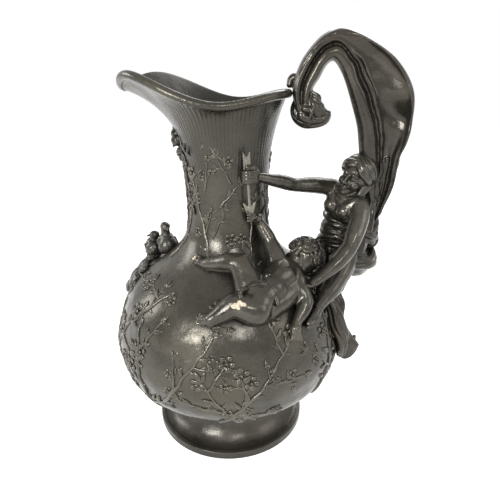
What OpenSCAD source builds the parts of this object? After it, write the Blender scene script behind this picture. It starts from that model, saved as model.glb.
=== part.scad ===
// Cast pewter ewer: a round-bellied jug with a pouring lip, and a handle made of a
// woman, a child and a billow of cloth. Millimetres, +Z up, the origin at the centre
// of the foot's underside, the handle towards +X and the spout towards -X.

/* [Foot] */
// Radius of the foot at the table
foot_r = 68; // [60:1:76]
// Height of the plain band round the foot
foot_band_h = 7; // [5:0.5:10]
// Set-back of the hollow moulding behind the band
foot_ledge = 2.5; // [1.5:0.5:4]
// Least radius of the foot, under the bowl
foot_throat_r = 48; // [44:1:52]
// Height of the foot, to the underside of the bowl
foot_h = 34; // [30:1:40]

/* [Body] */
// Greatest radius of the bowl
belly_r = 98; // [90:1:106]
// Height of the bowl, from the foot to the root of the neck
body_h = 151; // [140:1:165]
// Wall of every hollow casting
wall = 2.5; // [2:0.25:3.5]

/* [Neck] */
// Least radius of the neck
neck_r = 32.5; // [28:0.5:38]
// Radius of the neck where the lip starts
neck_top_r = 36.5; // [34:0.5:42]
// Length of the neck, from its root to the lip
neck_len = 85; // [75:1:95]

/* [Lip] */
// Radius of the rim under the handle
rim_back_r = 50; // [46:1:54]
// Reach of the spout from the axis
spout_r = 83; // [74:1:90]
// Height of the rim over the top of the neck, under the handle
rim_h = 28; // [24:1:32]
// How far the rim dips at the sides
rim_dip = 8; // [4:0.5:10]
// How far the wings of the spout rise over the back of the rim
spout_rise = 21; // [16:1:26]
// How far the tip of the spout falls from its wings
spout_drop = 17; // [10:1:20]
// Radius of the rolled edge
bead_r = 3.2; // [2.4:0.2:4]

/* [Handle] */
// Height of the top of the handle over the back of the rim
handle_rise = 41; // [36:1:48]
// Reach of the handle from the axis
handle_reach = 140; // [132:1:148]
// Thickness of the billowing cloth
cloth_t = 16; // [12:1:20]
// Thickness of the gathered cloth over the rim
strap_t = 13; // [10:1:16]
// Thickness of the knotted end of the cloth
knot_t = 15; // [12:1:17]

/* [Woman] */
// Standing height of the woman
nymph_h = 185; // [175:1:195]
// Thickness of the folds of her skirt
fold_t = 10; // [8:0.5:12]

/* [Child] */
// Standing height of the child
putto_h = 120; // [112:1:128]

/* [Arrow] */
// Radius of the shaft
arrow_r = 1.2; // [1:0.1:1.6]
// Width of the head, and of the flight
arrow_w = 8; // [6:0.5:10]

/* [Birds] */
// Height of a dove
dove_h = 29; // [26:1:31]
// Thickness of the ledge that the doves sit on
ledge_t = 9; // [7:0.5:11]

/* [Ornament] */
// Thickness of the bunch of leaves under the spout
spray_t = 10; // [8:0.5:12]

/* [Fit] */
// Solder gap under each piece that is fixed to the vessel
seat_gap = 0.2; // [0.1:0.05:0.3]

/* [Hidden] */

round_fn = 96;
ball_fn = 10;
line_steps = 4;
shoulder_z = foot_h + body_h;
neck_top_z = shoulder_z + neck_len;
rim_z = neck_top_z + rim_h;

// Outline of the bowl: radius as a share of the way from the neck to the belly, and
// height as a share of the bowl's height
bowl_shares = [
    [0.28, 0], [0.82, 0.16], [0.97, 0.30], [1, 0.42], [0.92, 0.55],
    [0.83, 0.65], [0.66, 0.745], [0.28, 0.865], [0.055, 1]
];
seam_share = 0.42;
// Outline of the neck, in the same way, from the neck's least radius to its top
neck_shares = [[0, 0.38], [0.35, 0.7], [1, 1]];

function mix(a, b, t) = a + (b - a) * t;
function curve(p, q, r, s, t) =
    0.5 * (2 * q + (r - p) * t + (2 * p - 5 * q + 4 * r - s) * t * t
        + (3 * q - p - 3 * r + s) * t * t * t);
function smooth_line(keys) = [
    for (i = [0 : len(keys) - 2], j = [0 : line_steps - 1])
        curve(keys[max(i - 1, 0)], keys[i], keys[i + 1], keys[min(i + 2, len(keys) - 1)],
            j / line_steps),
    keys[len(keys) - 1]
];
function normal(v) = [-v[1], v[0]] / norm(v);
function inset(line, depth) = [
    for (i = [0 : len(line) - 1])
        line[i] + depth * normal(line[min(i + 1, len(line) - 1)] - line[max(i - 1, 0)])
];
function backwards(list) = [for (i = [len(list) - 1 : -1 : 0]) list[i]];
function between(list, first, last) = [for (i = [first : last]) list[i]];

bowl_keys = [for (s = bowl_shares) [mix(neck_r, belly_r, s[0]), foot_h + s[1] * body_h]];
neck_keys = [for (s = neck_shares) [mix(neck_r, neck_top_r, s[0]), shoulder_z + s[1] * neck_len]];
skin = smooth_line(concat(bowl_keys, neck_keys));
lining = inset(skin, wall);
seam_i = line_steps * search([seam_share], bowl_shares, 1, 1)[0];
shoulder_i = line_steps * (len(bowl_keys) - 1);
skin_table = [for (p = skin) [p[1], p[0]]];
function skin_r(z) = lookup(z, skin_table);

// A place over the vessel's skin, by its turn from the handle, its height and its lift
function over(turn, z, lift) =
    [(skin_r(z) + lift) * cos(turn), (skin_r(z) + lift) * sin(turn), z];
function on_bowl(s, size) = over(s[0], s[1] * shoulder_z, s[2] * size);
function on_neck(s, size) = over(s[0], shoulder_z + s[1] * neck_len, s[2] * size);

// Building blocks of the figures
module ball(place, r) {
    translate(place)
        sphere(r = r, $fn = ball_fn);
}
module limb(places, radii) {
    for (i = [0 : len(places) - 2])
        hull() {
            ball(places[i], radii[i]);
            ball(places[i + 1], radii[i + 1]);
        }
}
module bridge(a, b, c, d, r) {
    hull() {
        ball(a, r);
        ball(b, r);
        ball(c, r);
        ball(d, r);
    }
}

// The outside of the whole vessel, as the pieces fixed to it are cut
module vessel_space() {
    outline = [for (p = skin) p + [seat_gap, 0]];
    rotate_extrude($fn = round_fn)
        polygon(concat([[0, foot_h]], outline, [[0, neck_top_z]]));
    lip_shape(seat_gap, wall);
}

// Foot: a plain band under a hollow moulding, open beneath
module foot_ring() {
    steps = [0 : 15 : 90];
    top_r = foot_r - foot_ledge;
    cove = [
        for (a = steps)
            [top_r - (top_r - foot_throat_r) * sin(a), foot_h - (foot_h - foot_band_h) * cos(a)]
    ];
    under = [
        for (a = steps)
            [top_r - wall - (top_r - foot_throat_r) * sin(a),
                foot_h - (foot_h - foot_band_h + wall) * cos(a)]
    ];
    color("dimgray")
        rotate_extrude($fn = round_fn)
            polygon(concat(
                [[foot_r - wall, 0], [foot_r, 0], [foot_r, foot_band_h]],
                cove,
                backwards(under),
                [[foot_r - wall, foot_band_h - wall]]));
}

// Bowl: two cast shells that meet at the widest place, the lower one with the floor
module lower_bowl() {
    color("dimgray")
        rotate_extrude($fn = round_fn)
            polygon(concat(
                [[0, foot_h]],
                between(skin, 0, seam_i),
                backwards(between(lining, 1, seam_i)),
                [[0, foot_h + wall]]));
}
module shell(first, last) {
    rotate_extrude($fn = round_fn)
        polygon(concat(between(skin, first, last), backwards(between(lining, first, last))));
}
module upper_bowl() {
    color("gray")
        shell(seam_i, shoulder_i);
}
module neck_tube() {
    color("dimgray")
        shell(shoulder_i, len(skin) - 1);
}

// Lip: it flares from the round neck to a waved rim with a rolled edge and a spout
lip_turn = 6;
lip_runs = [0 : 0.2 : 1];
bead_turns = [-110 : 35 : 100];
// How high the flare stays upright, at the back and at the spout
back_flare_share = 0.1;
spout_flare_share = 0.45;
function towards_spout(turn) = (1 - cos(turn)) / 2;
function rim_reach(turn) = mix(rim_back_r, spout_r, pow(towards_spout(turn), 4));
function rim_top(turn) =
    rim_z - rim_dip * pow(sin(turn), 4) + spout_rise * pow(towards_spout(turn), 5)
    - spout_drop * pow(towards_spout(turn), 30);
function bend(a, b, c, t) = mix(mix(a, b, t), mix(b, c, t), t);
function lip_section(turn, grow, inner) =
    let(
        heart = [rim_reach(turn) - bead_r, rim_top(turn) - bead_r],
        upright = mix(back_flare_share, spout_flare_share, towards_spout(turn)),
        bead = [for (a = bead_turns) heart + (bead_r + grow) * [cos(a), sin(a)]],
        knee_z = mix(neck_top_z, heart[1], upright),
        root = neck_top_r + grow,
        outside = [for (t = lip_runs) if (t < 1) bend([root, neck_top_z], [root + grow, knee_z], bead[0], t)],
        inside = [
            for (t = lip_runs) if (t < 1)
                bend([inner, neck_top_z], [inner, knee_z], bead[len(bead) - 1], t)
        ]
    )
    concat(outside, bead, backwards(inside));
module lip_shape(grow, inner) {
    turns = [0 : lip_turn : 360 - lip_turn];
    sections = [for (turn = turns) lip_section(turn, grow, inner)];
    n = len(sections);
    m = len(sections[0]);
    points = [
        for (i = [0 : n - 1], p = sections[i])
            [p[0] * cos(i * lip_turn), p[0] * sin(i * lip_turn), p[1]]
    ];
    faces = [
        for (i = [0 : n - 1], j = [0 : m - 1])
            let(a = i * m + j, b = i * m + (j + 1) % m,
                c = ((i + 1) % n) * m + (j + 1) % m, d = ((i + 1) % n) * m + j)
            each [[a, b, c], [a, c, d]]
    ];
    polyhedron(points, faces);
}
module pouring_lip() {
    color("gray")
        lip_shape(0, neck_top_r - wall);
}

// Woman: places are her hip plus shares of her standing height
woman_hip_turn = 7;
woman_hip_shares = [0.945, 0.913];
neck_base_share = [0.04, 0, 0.26];
neck_share = [0.045, -0.01, 0.30];
chest_share = [0.02, -0.02, 0.21];
right_breast_share = [-0.05, -0.045, 0.215];
left_breast_share = [0.005, -0.11, 0.21];
waist_share = [-0.01, -0.01, 0.105];
left_shoulder_share = [0.08, -0.07, 0.22];
right_shoulder_share = [-0.03, 0.03, 0.28];
left_hip_share = [0.025, -0.05, -0.02];
right_hip_share = [-0.05, 0.04, -0.02];
woman_head_share = [0.05, -0.04, 0.35];
woman_face_share = [0.015, -0.06, 0.335];
left_elbow_share = [0.05, -0.18, 0.10];
left_knee_share = [-0.005, -0.165, -0.08];
// Places on the vessel: turn, height share and lift share
right_grip_shares = [-56, 0.62, 0.03];
left_ankle_shares = [-33, 0.755, 0.045];
left_toe_shares = [-42, 0.71, 0.018];

woman_hip = [
    woman_hip_shares[0] * belly_r * cos(woman_hip_turn),
    woman_hip_shares[0] * belly_r * sin(woman_hip_turn),
    woman_hip_shares[1] * shoulder_z
];
function woman_at(share) = woman_hip + nymph_h * share;
function woman_r(shares) = nymph_h * shares;
right_grip = on_neck(right_grip_shares, nymph_h);

module woman_torso_shape() {
    left_shoulder = woman_at(left_shoulder_share);
    right_shoulder = woman_at(right_shoulder_share);
    chest = woman_at(chest_share);
    waist = woman_at(waist_share);
    limb([left_shoulder, woman_at(neck_base_share), right_shoulder], woman_r([0.032, 0.03, 0.032]));
    limb([left_shoulder, chest, right_shoulder], woman_r([0.032, 0.056, 0.032]));
    limb([chest, waist, woman_hip], woman_r([0.056, 0.05, 0.066]));
    limb([woman_at(left_breast_share), chest, woman_at(right_breast_share)],
        woman_r([0.03, 0.05, 0.03]));
    limb([woman_at(neck_base_share), woman_at(neck_share)], woman_r([0.03, 0.026]));
    limb([woman_at(left_hip_share), woman_hip, woman_at(right_hip_share)],
        woman_r([0.06, 0.066, 0.06]));
}
module woman_head_shape() {
    head = woman_at(woman_head_share);
    face = woman_at(woman_face_share);
    // Hair drawn back in waves over the ears to a knot
    hair_r = 0.036 * nymph_h;
    knot = head + 1.2 * (head - face) + [0, 0.4 * hair_r, 0];
    limb([face, head], woman_r([0.042, 0.058]));
    for (turn = [0 : 45 : 315])
        limb([head + hair_r * [cos(turn), sin(turn), 0.35], head + [0, 0, 0.7 * hair_r]], woman_r([0.026, 0.04]));
    limb([head, knot], woman_r([0.05, 0.034]));
}
module woman_right_arm_shape() {
    shoulder = woman_at(right_shoulder_share);
    elbow = mix(shoulder, right_grip, 0.5) - [0, 0, 0.008 * nymph_h];
    wrist = mix(shoulder, right_grip, 0.88);
    finger = 0.03 * nymph_h;
    limb([shoulder, elbow, wrist, right_grip], woman_r([0.042, 0.033, 0.022, 0.022]));
    for (i = [-1 : 2])
        limb([mix(wrist, right_grip, 0.4), right_grip + finger * [-0.8, -0.25, 0.4 * i]],
            woman_r([0.014, 0.01]));
    limb([mix(wrist, right_grip, 0.3), right_grip + finger * [0.1, -0.5, 1]], woman_r([0.014, 0.01]));
}
module woman_left_arm_shape() {
    shoulder = woman_at(left_shoulder_share);
    elbow = woman_at(left_elbow_share);
    wrist = mix(elbow, left_grip, 0.72);
    finger = 0.03 * nymph_h;
    limb([shoulder, elbow, wrist, left_grip], woman_r([0.036, 0.03, 0.02, 0.019]));
    for (i = [-1 : 2])
        limb([mix(wrist, left_grip, 0.6), left_grip + finger * [-0.5, -0.9, -0.4 * i]],
            woman_r([0.012, 0.01]));
    limb([wrist, left_grip + finger * [0.2, -0.6, 0.8]], woman_r([0.012, 0.01]));
}
module woman_left_leg_shape() {
    hip = woman_at(left_hip_share);
    knee = woman_at(left_knee_share);
    ankle = on_bowl(left_ankle_shares, nymph_h);
    toe = on_bowl(left_toe_shares, nymph_h);
    heel = mix(ankle, toe, 0.1) - [0, 0, 0.012 * nymph_h];
    calf = mix(knee, ankle, 0.35);
    limb([hip, knee, calf, ankle, toe], woman_r([0.062, 0.046, 0.042, 0.024, 0.015]));
    limb([ankle, heel, toe], woman_r([0.022, 0.02, 0.015]));
    for (i = [-1 : 1])
        limb([mix(ankle, toe, 0.6), toe + 0.012 * nymph_h * [i, i, 0]], woman_r([0.016, 0.01]));
}

// Skirt: cloth rolled about her hips that falls to the vessel's shoulder, with loose tails
roll_share = [0.12, 0.045, -0.065];
back_roll_share = [0.14, 0.075, 0.03];
small_back_share = [0.125, 0.04, 0.14];
right_knee_share = [-0.10, 0.02, -0.06];
seat_shares = [4, 0.80, 0.03];
left_seat_shares = [-12, 0.76, 0.02];
right_seat_shares = [22, 0.78, 0.02];
tail_root_shares = [-14, 0.72, 0.02];
tail_rear_shares = [-3, 0.73, 0.02];
tail_mid_shares = [-14, 0.61, 0.035];
tail_mid_rear_shares = [-8, 0.62, 0.05];
inner_tail_shares = [-14, 0.465, 0.03];
outer_tail_shares = [-10, 0.505, 0.09];
back_tail_shares = [8, 0.56, 0.03];
module woman_skirt_shape() {
    roll = woman_at(roll_share);
    back_roll = woman_at(back_roll_share);
    seat = on_bowl(seat_shares, nymph_h);
    right_knee = woman_at(right_knee_share);
    limb([woman_at(small_back_share), back_roll, roll], woman_r([0.022, 0.042, 0.055]));
    limb([roll, woman_at(left_hip_share), on_bowl(left_seat_shares, nymph_h)],
        woman_r([0.055, 0.066, 0.04]));
    limb([roll, woman_hip, seat], woman_r([0.055, 0.074, 0.06]));
    limb([woman_at(right_hip_share), right_knee, on_bowl(right_seat_shares, nymph_h)],
        woman_r([0.063, 0.05, 0.04]));
    bridge(woman_hip, woman_at(right_hip_share), seat, on_bowl(right_seat_shares, nymph_h), fold_t);
}
module skirt_tails_shape() {
    fold_r = fold_t / 3;
    root = on_bowl(tail_root_shares, nymph_h);
    rear = on_bowl(tail_rear_shares, nymph_h);
    middle = on_bowl(tail_mid_shares, nymph_h);
    middle_rear = on_bowl(tail_mid_rear_shares, nymph_h);
    inner = on_bowl(inner_tail_shares, nymph_h);
    outer = on_bowl(outer_tail_shares, nymph_h);
    back = on_bowl(back_tail_shares, nymph_h);
    between_mids = mix(middle, middle_rear, 0.5);
    bridge(root, rear, middle, middle_rear, fold_r);
    bridge(middle, between_mids, inner, mix(inner, outer, 0.25), fold_r);
    bridge(middle_rear, between_mids, outer, mix(outer, inner, 0.3), fold_r);
    bridge(rear, mix(root, rear, 0.6), back, mix(back, middle_rear, 0.5), fold_r);
}

// Child: lies back along the bowl's shoulder; turn, height share and lift share
child_head_shares = [-20, 0.937, 0.215];
child_face_shares = [-27, 0.935, 0.225];
child_neck_shares = [-34, 0.90, 0.155];
child_chest_shares = [-44, 0.90, 0.14];
child_belly_shares = [-54, 0.867, 0.115];
child_pelvis_shares = [-65, 0.833, 0.10];
child_right_shoulder_shares = [-40, 0.95, 0.155];
child_right_elbow_shares = [-37.5, 1.01, 0.10];
child_right_hand_shares = [-45, 0.26, 0.042];
child_left_shoulder_shares = [-38, 0.858, 0.143];
child_left_elbow_shares = [-38, 0.808, 0.10];
child_left_wrist_shares = [-45, 0.755, 0.05];
child_left_hand_shares = [-49, 0.724, 0.03];
child_right_hip_shares = [-68, 0.862, 0.105];
child_right_knee_shares = [-71, 0.955, 0.15];
child_right_ankle_shares = [-100, 0.94, 0.058];
child_right_toe_shares = [-114, 0.945, 0.032];
child_left_hip_shares = [-67, 0.82, 0.108];
child_left_knee_shares = [-77, 0.847, 0.15];
child_left_ankle_shares = [-89, 0.79, 0.066];
child_left_toe_shares = [-95, 0.785, 0.04];
function child_r(shares) = putto_h * shares;
function child_at(shares) = on_bowl(shares, putto_h);

// Where the woman's left hand holds the child's arm, from its shoulder to its elbow
grip_share = 0.35;
left_grip = mix(child_at(child_left_shoulder_shares), child_at(child_left_elbow_shares), grip_share);

module child_torso_shape() {
    neck = child_at(child_neck_shares);
    chest = child_at(child_chest_shares);
    belly = child_at(child_belly_shares);
    pelvis = child_at(child_pelvis_shares);
    left_shoulder = child_at(child_left_shoulder_shares);
    right_shoulder = child_at(child_right_shoulder_shares);
    limb([mix(neck, child_at(child_head_shares), 0.4), neck, chest, belly, pelvis],
        child_r([0.055, 0.06, 0.10, 0.108, 0.105]));
    limb([left_shoulder, chest, right_shoulder], child_r([0.05, 0.10, 0.05]));
    limb([left_shoulder, neck, right_shoulder], child_r([0.05, 0.058, 0.05]));
    // The back rests on the bowl
    limb([chest - child_r(0.05) * chest / norm(chest), pelvis - child_r(0.05) * pelvis / norm(pelvis)],
        child_r([0.09, 0.09]));
}
module child_head_shape() {
    head = child_at(child_head_shares);
    face = child_at(child_face_shares);
    curl = child_r(0.075);
    limb([face, head], child_r([0.09, 0.118]));
    // Curls all round the crown
    for (turn = [0 : 40 : 320], tilt = [-30, 30])
        limb([head, head + curl * 1.1 * [cos(turn) * cos(tilt), sin(turn) * cos(tilt), sin(tilt)]],
            child_r([0.07, 0.052]));
}
module child_right_arm_shape() {
    shoulder = child_at(child_right_shoulder_shares);
    elbow = child_at(child_right_elbow_shares);
    hand = on_neck(child_right_hand_shares, putto_h);
    wrist = mix(elbow, hand, 0.65);
    limb([shoulder, elbow, wrist, hand], child_r([0.06, 0.052, 0.036, 0.032]));
    for (i = [-2 : 2])
        limb([mix(wrist, hand, 0.7), hand + child_r(0.035) * [-0.4 + 0.25 * i, -0.3 + 0.2 * i, 0.9]],
            child_r([0.02, 0.014]));
}
module child_left_arm_shape() {
    shoulder = child_at(child_left_shoulder_shares);
    elbow = child_at(child_left_elbow_shares);
    wrist = child_at(child_left_wrist_shares);
    hand = child_at(child_left_hand_shares);
    limb([shoulder, elbow, wrist, hand], child_r([0.06, 0.052, 0.036, 0.034]));
    for (i = [-2 : 2])
        limb([mix(wrist, hand, 0.7), hand + child_r(0.04) * [0.3 * i - 0.2, 0.3 * i - 0.3, -0.8]],
            child_r([0.02, 0.014]));
}
module child_leg_shape(hip, knee, ankle, toe) {
    heel = ankle + child_r(0.03) * (ankle - toe) / norm(ankle - toe);
    calf = mix(knee, ankle, 0.3);
    limb([hip, mix(hip, knee, 0.4), knee, calf, ankle, toe],
        child_r([0.095, 0.09, 0.072, 0.062, 0.042, 0.032]));
    limb([calf, heel, toe], child_r([0.055, 0.038, 0.028]));
    for (i = [-1 : 1])
        limb([mix(ankle, toe, 0.6), toe + child_r(0.02) * [i, 0, -i]], child_r([0.034, 0.02]));
}
module child_right_leg_shape() {
    child_leg_shape(child_at(child_right_hip_shares), child_at(child_right_knee_shares),
        child_at(child_right_ankle_shares), child_at(child_right_toe_shares));
}
module child_left_leg_shape() {
    child_leg_shape(child_at(child_left_hip_shares), child_at(child_left_knee_shares),
        child_at(child_left_ankle_shares), child_at(child_left_toe_shares));
}
// Arrow: held against the neck, with a flat barbed head and a feathered end
arrow_tip_shares = [-53, 0.18, 0.035];
arrow_end_shares = [-60, 0.85, 0.035];
module arrow_shape() {
    tip = on_neck(arrow_tip_shares, putto_h);
    end = on_neck(arrow_end_shares, putto_h);
    across = [cos(arrow_tip_shares[0] + 90), sin(arrow_tip_shares[0] + 90), 0] * (arrow_w / 2 - arrow_r);
    barb = mix(tip, end, 0.27);
    notch = mix(tip, end, 0.31);
    limb([tip, end], [arrow_r, arrow_r]);
    for (side = [-1, 1]) {
        hull() {
            ball(tip, arrow_r);
            ball(barb, arrow_r);
            ball(notch + side * across, arrow_r);
        }
        for (t = [0.7, 0.78, 0.86])
            hull() {
                ball(mix(tip, end, t), arrow_r);
                ball(mix(tip, end, t + 0.1), arrow_r);
                ball(mix(tip, end, t + 0.14) + side * across, arrow_r);
            }
    }
}

// The arrow with the space between it and the neck, as the hand is hollowed for it
module arrow_bed() {
    tip = on_neck(arrow_tip_shares, putto_h);
    end = on_neck(arrow_end_shares, putto_h);
    inward = [for (place = [tip, end]) -arrow_w * [cos(arrow_tip_shares[0]), sin(arrow_tip_shares[0]), 0]];
    bridge(tip, end, tip + inward[0], end + inward[1], arrow_r);
}

// Handle: cloth that rises from the woman's back, turns over and comes down on the rim.
// Each row holds the inner and the outer edge: across from the rim to the handle's
// reach, and up from her shoulder to the handle's top, as shares
handle_top_z = rim_z + handle_rise;
drapery_shares = [
    [[0.70, 0.06], [0.80, 0.02]], [[0.64, 0.18], [0.88, 0.15]], [[0.60, 0.30], [0.94, 0.29]],
    [[0.57, 0.40], [0.98, 0.37]], [[0.54, 0.50], [1.00, 0.49]], [[0.47, 0.64], [0.97, 0.675]],
    [[0.40, 0.74], [0.80, 0.83]], [[0.35, 0.80], [0.60, 0.93]], [[0.32, 0.83], [0.36, 1.00]]
];
// How far the cloth swings to her side, as shares of its thickness
drapery_sway_shares = [0.75, 0.7, 0.55, 0.35, 0.2, 0, 0, 0, 0];
strap_shares = [
    [[0.32, 0.84], [0.35, 0.98]], [[0.285, 0.82], [0.235, 0.97]], [[0.25, 0.79], [0.14, 0.91]],
    [[0.21, 0.74], [0.065, 0.83]], [[0.165, 0.69], [0.015, 0.72]], [[0.14, 0.64], [0.01, 0.66]]
];
function handle_place(share, sway) = [
    mix(rim_back_r, handle_reach, share[0]),
    sway,
    mix(woman_at(left_shoulder_share)[2], handle_top_z, share[1])
];
// An edge of the cloth, drawn in by half its thickness
function cloth_edge(row, side, t, sway) =
    let(here = handle_place(row[side], sway), there = handle_place(row[1 - side], sway))
    here + t / 2 * (there - here) / norm(there - here);
module cloth_run(rows, t, sways) {
    for (i = [0 : len(rows) - 2])
        bridge(
            cloth_edge(rows[i], 0, t, sways[i]), cloth_edge(rows[i], 1, t, sways[i]),
            cloth_edge(rows[i + 1], 0, t, sways[i + 1]), cloth_edge(rows[i + 1], 1, t, sways[i + 1]),
            t / 2);
}
module drapery_shape() {
    cloth_run(drapery_shares, cloth_t, cloth_t * drapery_sway_shares);
    limb([handle_place(drapery_shares[0][1], cloth_t * drapery_sway_shares[0]),
        woman_at(small_back_share)], [cloth_t / 2, cloth_t / 3]);
}
module strap_shape() {
    cloth_run(strap_shares, strap_t, [for (row = strap_shares) 0]);
}
// The knotted end wraps the rim and hangs inside the hand gap
knot_heart_shares = [0.09, 0.57];
knot_low_shares = [0.11, 0.53];
knot_tip_shares = [0.27, 0.53];
knot_flap_shares = [0.19, 0.64];
module knot_shape() {
    heart = handle_place(knot_heart_shares, 0);
    low = handle_place(knot_low_shares, 0);
    flap = handle_place(knot_flap_shares, 0);
    for (side = [-1, 0, 1]) {
        swing = [0, side * knot_t / 3, 0];
        limb([flap, heart + swing, low + swing], [knot_t / 3, knot_t / 2, knot_t / 2]);
    }
    limb([heart, low, handle_place(knot_tip_shares, 0)], [knot_t / 2, knot_t / 2, knot_t / 3]);
}

// Doves: a round body over a fanned tail, with folded wings
left_dove_shares = [166, 0.85, 0.50];
right_dove_shares = [171, 0.91, 0.24];
left_perch_shares = [163, 0.79, 0.10];
right_perch_shares = [172, 0.84, 0.03];
module dove_shape(body, perch, bearing) {
    ahead = [cos(bearing), sin(bearing), 0];
    aside = [-sin(bearing), cos(bearing), 0];
    head = body + dove_h * (0.12 * ahead + [0, 0, 0.5]);
    tail = perch - dove_h * 0.12 * ahead;
    limb([head, body + dove_h * [0, 0, 0.12], body, perch], dove_h * [0.15, 0.24, 0.27, 0.16]);
    limb([head, head + dove_h * (0.2 * ahead - [0, 0, 0.04])], dove_h * [0.08, 0.03]);
    limb([body, tail], dove_h * [0.2, 0.07]);
    for (side = [-1, 1])
        limb([body + side * 0.16 * dove_h * aside + dove_h * [0, 0, 0.1],
            body + side * 0.18 * dove_h * aside - dove_h * [0, 0, 0.1],
            mix(body, tail, 0.6) + side * 0.1 * dove_h * aside], dove_h * [0.13, 0.12, 0.05]);
}
// Bearings that the doves face
left_dove_bearing = 100;
right_dove_bearing = -80;

// Ledge: an overhanging leaf of rock under the doves
ledge_shares = [
    [150, 0.80, -0.2], [158, 0.785, 0], [166, 0.765, 0.1], [173, 0.75, 0.15], [181, 0.74, 0.1],
    [189, 0.745, 0], [196, 0.76, -0.2]
];
module ledge_shape() {
    for (i = [0 : len(ledge_shares) - 2])
        bridge(
            on_bowl(ledge_shares[i], ledge_t), on_bowl(ledge_shares[i + 1], ledge_t),
            on_bowl(ledge_shares[i] + [0, 0.055, -0.25], ledge_t),
            on_bowl(ledge_shares[i + 1] + [0, 0.055, -0.25], ledge_t), ledge_t / 2);
    limb([on_bowl(ledge_shares[2], ledge_t), on_bowl(left_perch_shares, dove_h),
        on_bowl(right_perch_shares, dove_h)], [ledge_t, ledge_t, ledge_t] / 2);
}

// Spray: a bunch of buds and leaves under the spout, with trailing stems
spray_turn = 180;
spray_rows = [0 : 4];
module spray_shape() {
    for (i = spray_rows, side = [-1, 1])
        limb([
            on_neck([spray_turn + side * (14 + 3 * i), 0.94 - 0.06 * i, 0.1], spray_t),
            on_neck([spray_turn + side * 5, 0.95 - 0.075 * i, 0.62 - 0.1 * i], spray_t)
        ], spray_t * [0.22, 0.36 - 0.03 * i]);
    limb([for (i = spray_rows) on_neck([spray_turn, 0.95 - 0.09 * i, 0.6 - 0.14 * i], spray_t)],
        spray_t * [0.5, 0.42, 0.36, 0.3, 0.2]);
}

// Each piece as it is cut, by the vessel and by the pieces that it is soldered to
module woman_torso() {
    color("gray")
        difference() {
            woman_torso_shape();
            vessel_space();
        }
}
module woman_head() {
    color("darkgray")
        difference() {
            woman_head_shape();
            woman_torso_shape();
        }
}
module woman_right_arm() {
    color("darkgray")
        difference() {
            woman_right_arm_shape();
            woman_torso_shape();
            woman_head_shape();
            arrow_bed();
            vessel_space();
        }
}
module woman_left_arm() {
    color("darkgray")
        difference() {
            woman_left_arm_shape();
            woman_torso_shape();
            vessel_space();
        }
}
module woman_left_leg() {
    color("darkgray")
        difference() {
            woman_left_leg_shape();
            woman_torso_shape();
            woman_left_arm_shape();
            vessel_space();
        }
}
module woman_skirt() {
    color("dimgray")
        difference() {
            woman_skirt_shape();
            woman_torso_shape();
            woman_left_arm_shape();
            woman_left_leg_shape();
            vessel_space();
        }
}
module skirt_tails() {
    color("dimgray")
        difference() {
            skirt_tails_shape();
            woman_skirt_shape();
            woman_torso_shape();
            woman_left_arm_shape();
            woman_left_leg_shape();
            vessel_space();
        }
}
module child_torso() {
    color("gray")
        difference() {
            child_torso_shape();
            woman_left_arm_shape();
            woman_left_leg_shape();
            woman_torso_shape();
            woman_skirt_shape();
            vessel_space();
        }
}
module child_head() {
    color("darkgray")
        difference() {
            child_head_shape();
            child_torso_shape();
            woman_left_arm_shape();
            woman_left_leg_shape();
            woman_torso_shape();
            woman_skirt_shape();
            vessel_space();
        }
}
module child_right_arm() {
    color("darkgray")
        difference() {
            child_right_arm_shape();
            child_torso_shape();
            child_head_shape();
            arrow_shape();
            vessel_space();
        }
}
module child_left_arm() {
    color("darkgray")
        difference() {
            child_left_arm_shape();
            child_torso_shape();
            child_head_shape();
            woman_left_arm_shape();
            woman_left_leg_shape();
            woman_skirt_shape();
            vessel_space();
        }
}
module child_right_leg() {
    color("darkgray")
        difference() {
            child_right_leg_shape();
            child_torso_shape();
            vessel_space();
        }
}
module child_left_leg() {
    color("darkgray")
        difference() {
            child_left_leg_shape();
            child_torso_shape();
            child_right_leg_shape();
            vessel_space();
        }
}
module arrow() {
    color("silver")
        difference() {
            arrow_shape();
            vessel_space();
        }
}
module handle_drapery() {
    color("dimgray")
        difference() {
            drapery_shape();
            woman_torso_shape();
            woman_head_shape();
            woman_left_arm_shape();
            woman_skirt_shape();
            woman_right_arm_shape();
        }
}
module handle_strap() {
    color("gray")
        difference() {
            strap_shape();
            drapery_shape();
            vessel_space();
        }
}
module handle_knot() {
    color("darkgray")
        difference() {
            knot_shape();
            strap_shape();
            drapery_shape();
            vessel_space();
        }
}
module shoulder_ledge() {
    color("dimgray")
        difference() {
            ledge_shape();
            vessel_space();
        }
}
module left_dove_shape() {
    dove_shape(on_bowl(left_dove_shares, dove_h), on_bowl(left_perch_shares, dove_h), left_dove_bearing);
}
module right_dove_shape() {
    dove_shape(on_bowl(right_dove_shares, dove_h), on_bowl(right_perch_shares, dove_h),
        right_dove_bearing);
}
module left_dove() {
    color("darkgray")
        difference() {
            left_dove_shape();
            ledge_shape();
            vessel_space();
        }
}
module right_dove() {
    color("darkgray")
        difference() {
            right_dove_shape();
            left_dove_shape();
            ledge_shape();
            vessel_space();
        }
}
module spout_spray() {
    color("dimgray")
        difference() {
            spray_shape();
            vessel_space();
        }
}

foot_ring();
lower_bowl();
upper_bowl();
neck_tube();
pouring_lip();
handle_drapery();
handle_strap();
handle_knot();
woman_torso();
woman_head();
woman_right_arm();
woman_left_arm();
woman_left_leg();
woman_skirt();
skirt_tails();
child_torso();
child_head();
child_right_arm();
child_left_arm();
child_right_leg();
child_left_leg();
arrow();
shoulder_ledge();
left_dove();
right_dove();
spout_spray();
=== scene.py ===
from bisect import bisect
from math import cos, degrees, exp, pi, radians, sin, sqrt

import bpy
from mathutils import Matrix, Vector


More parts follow.
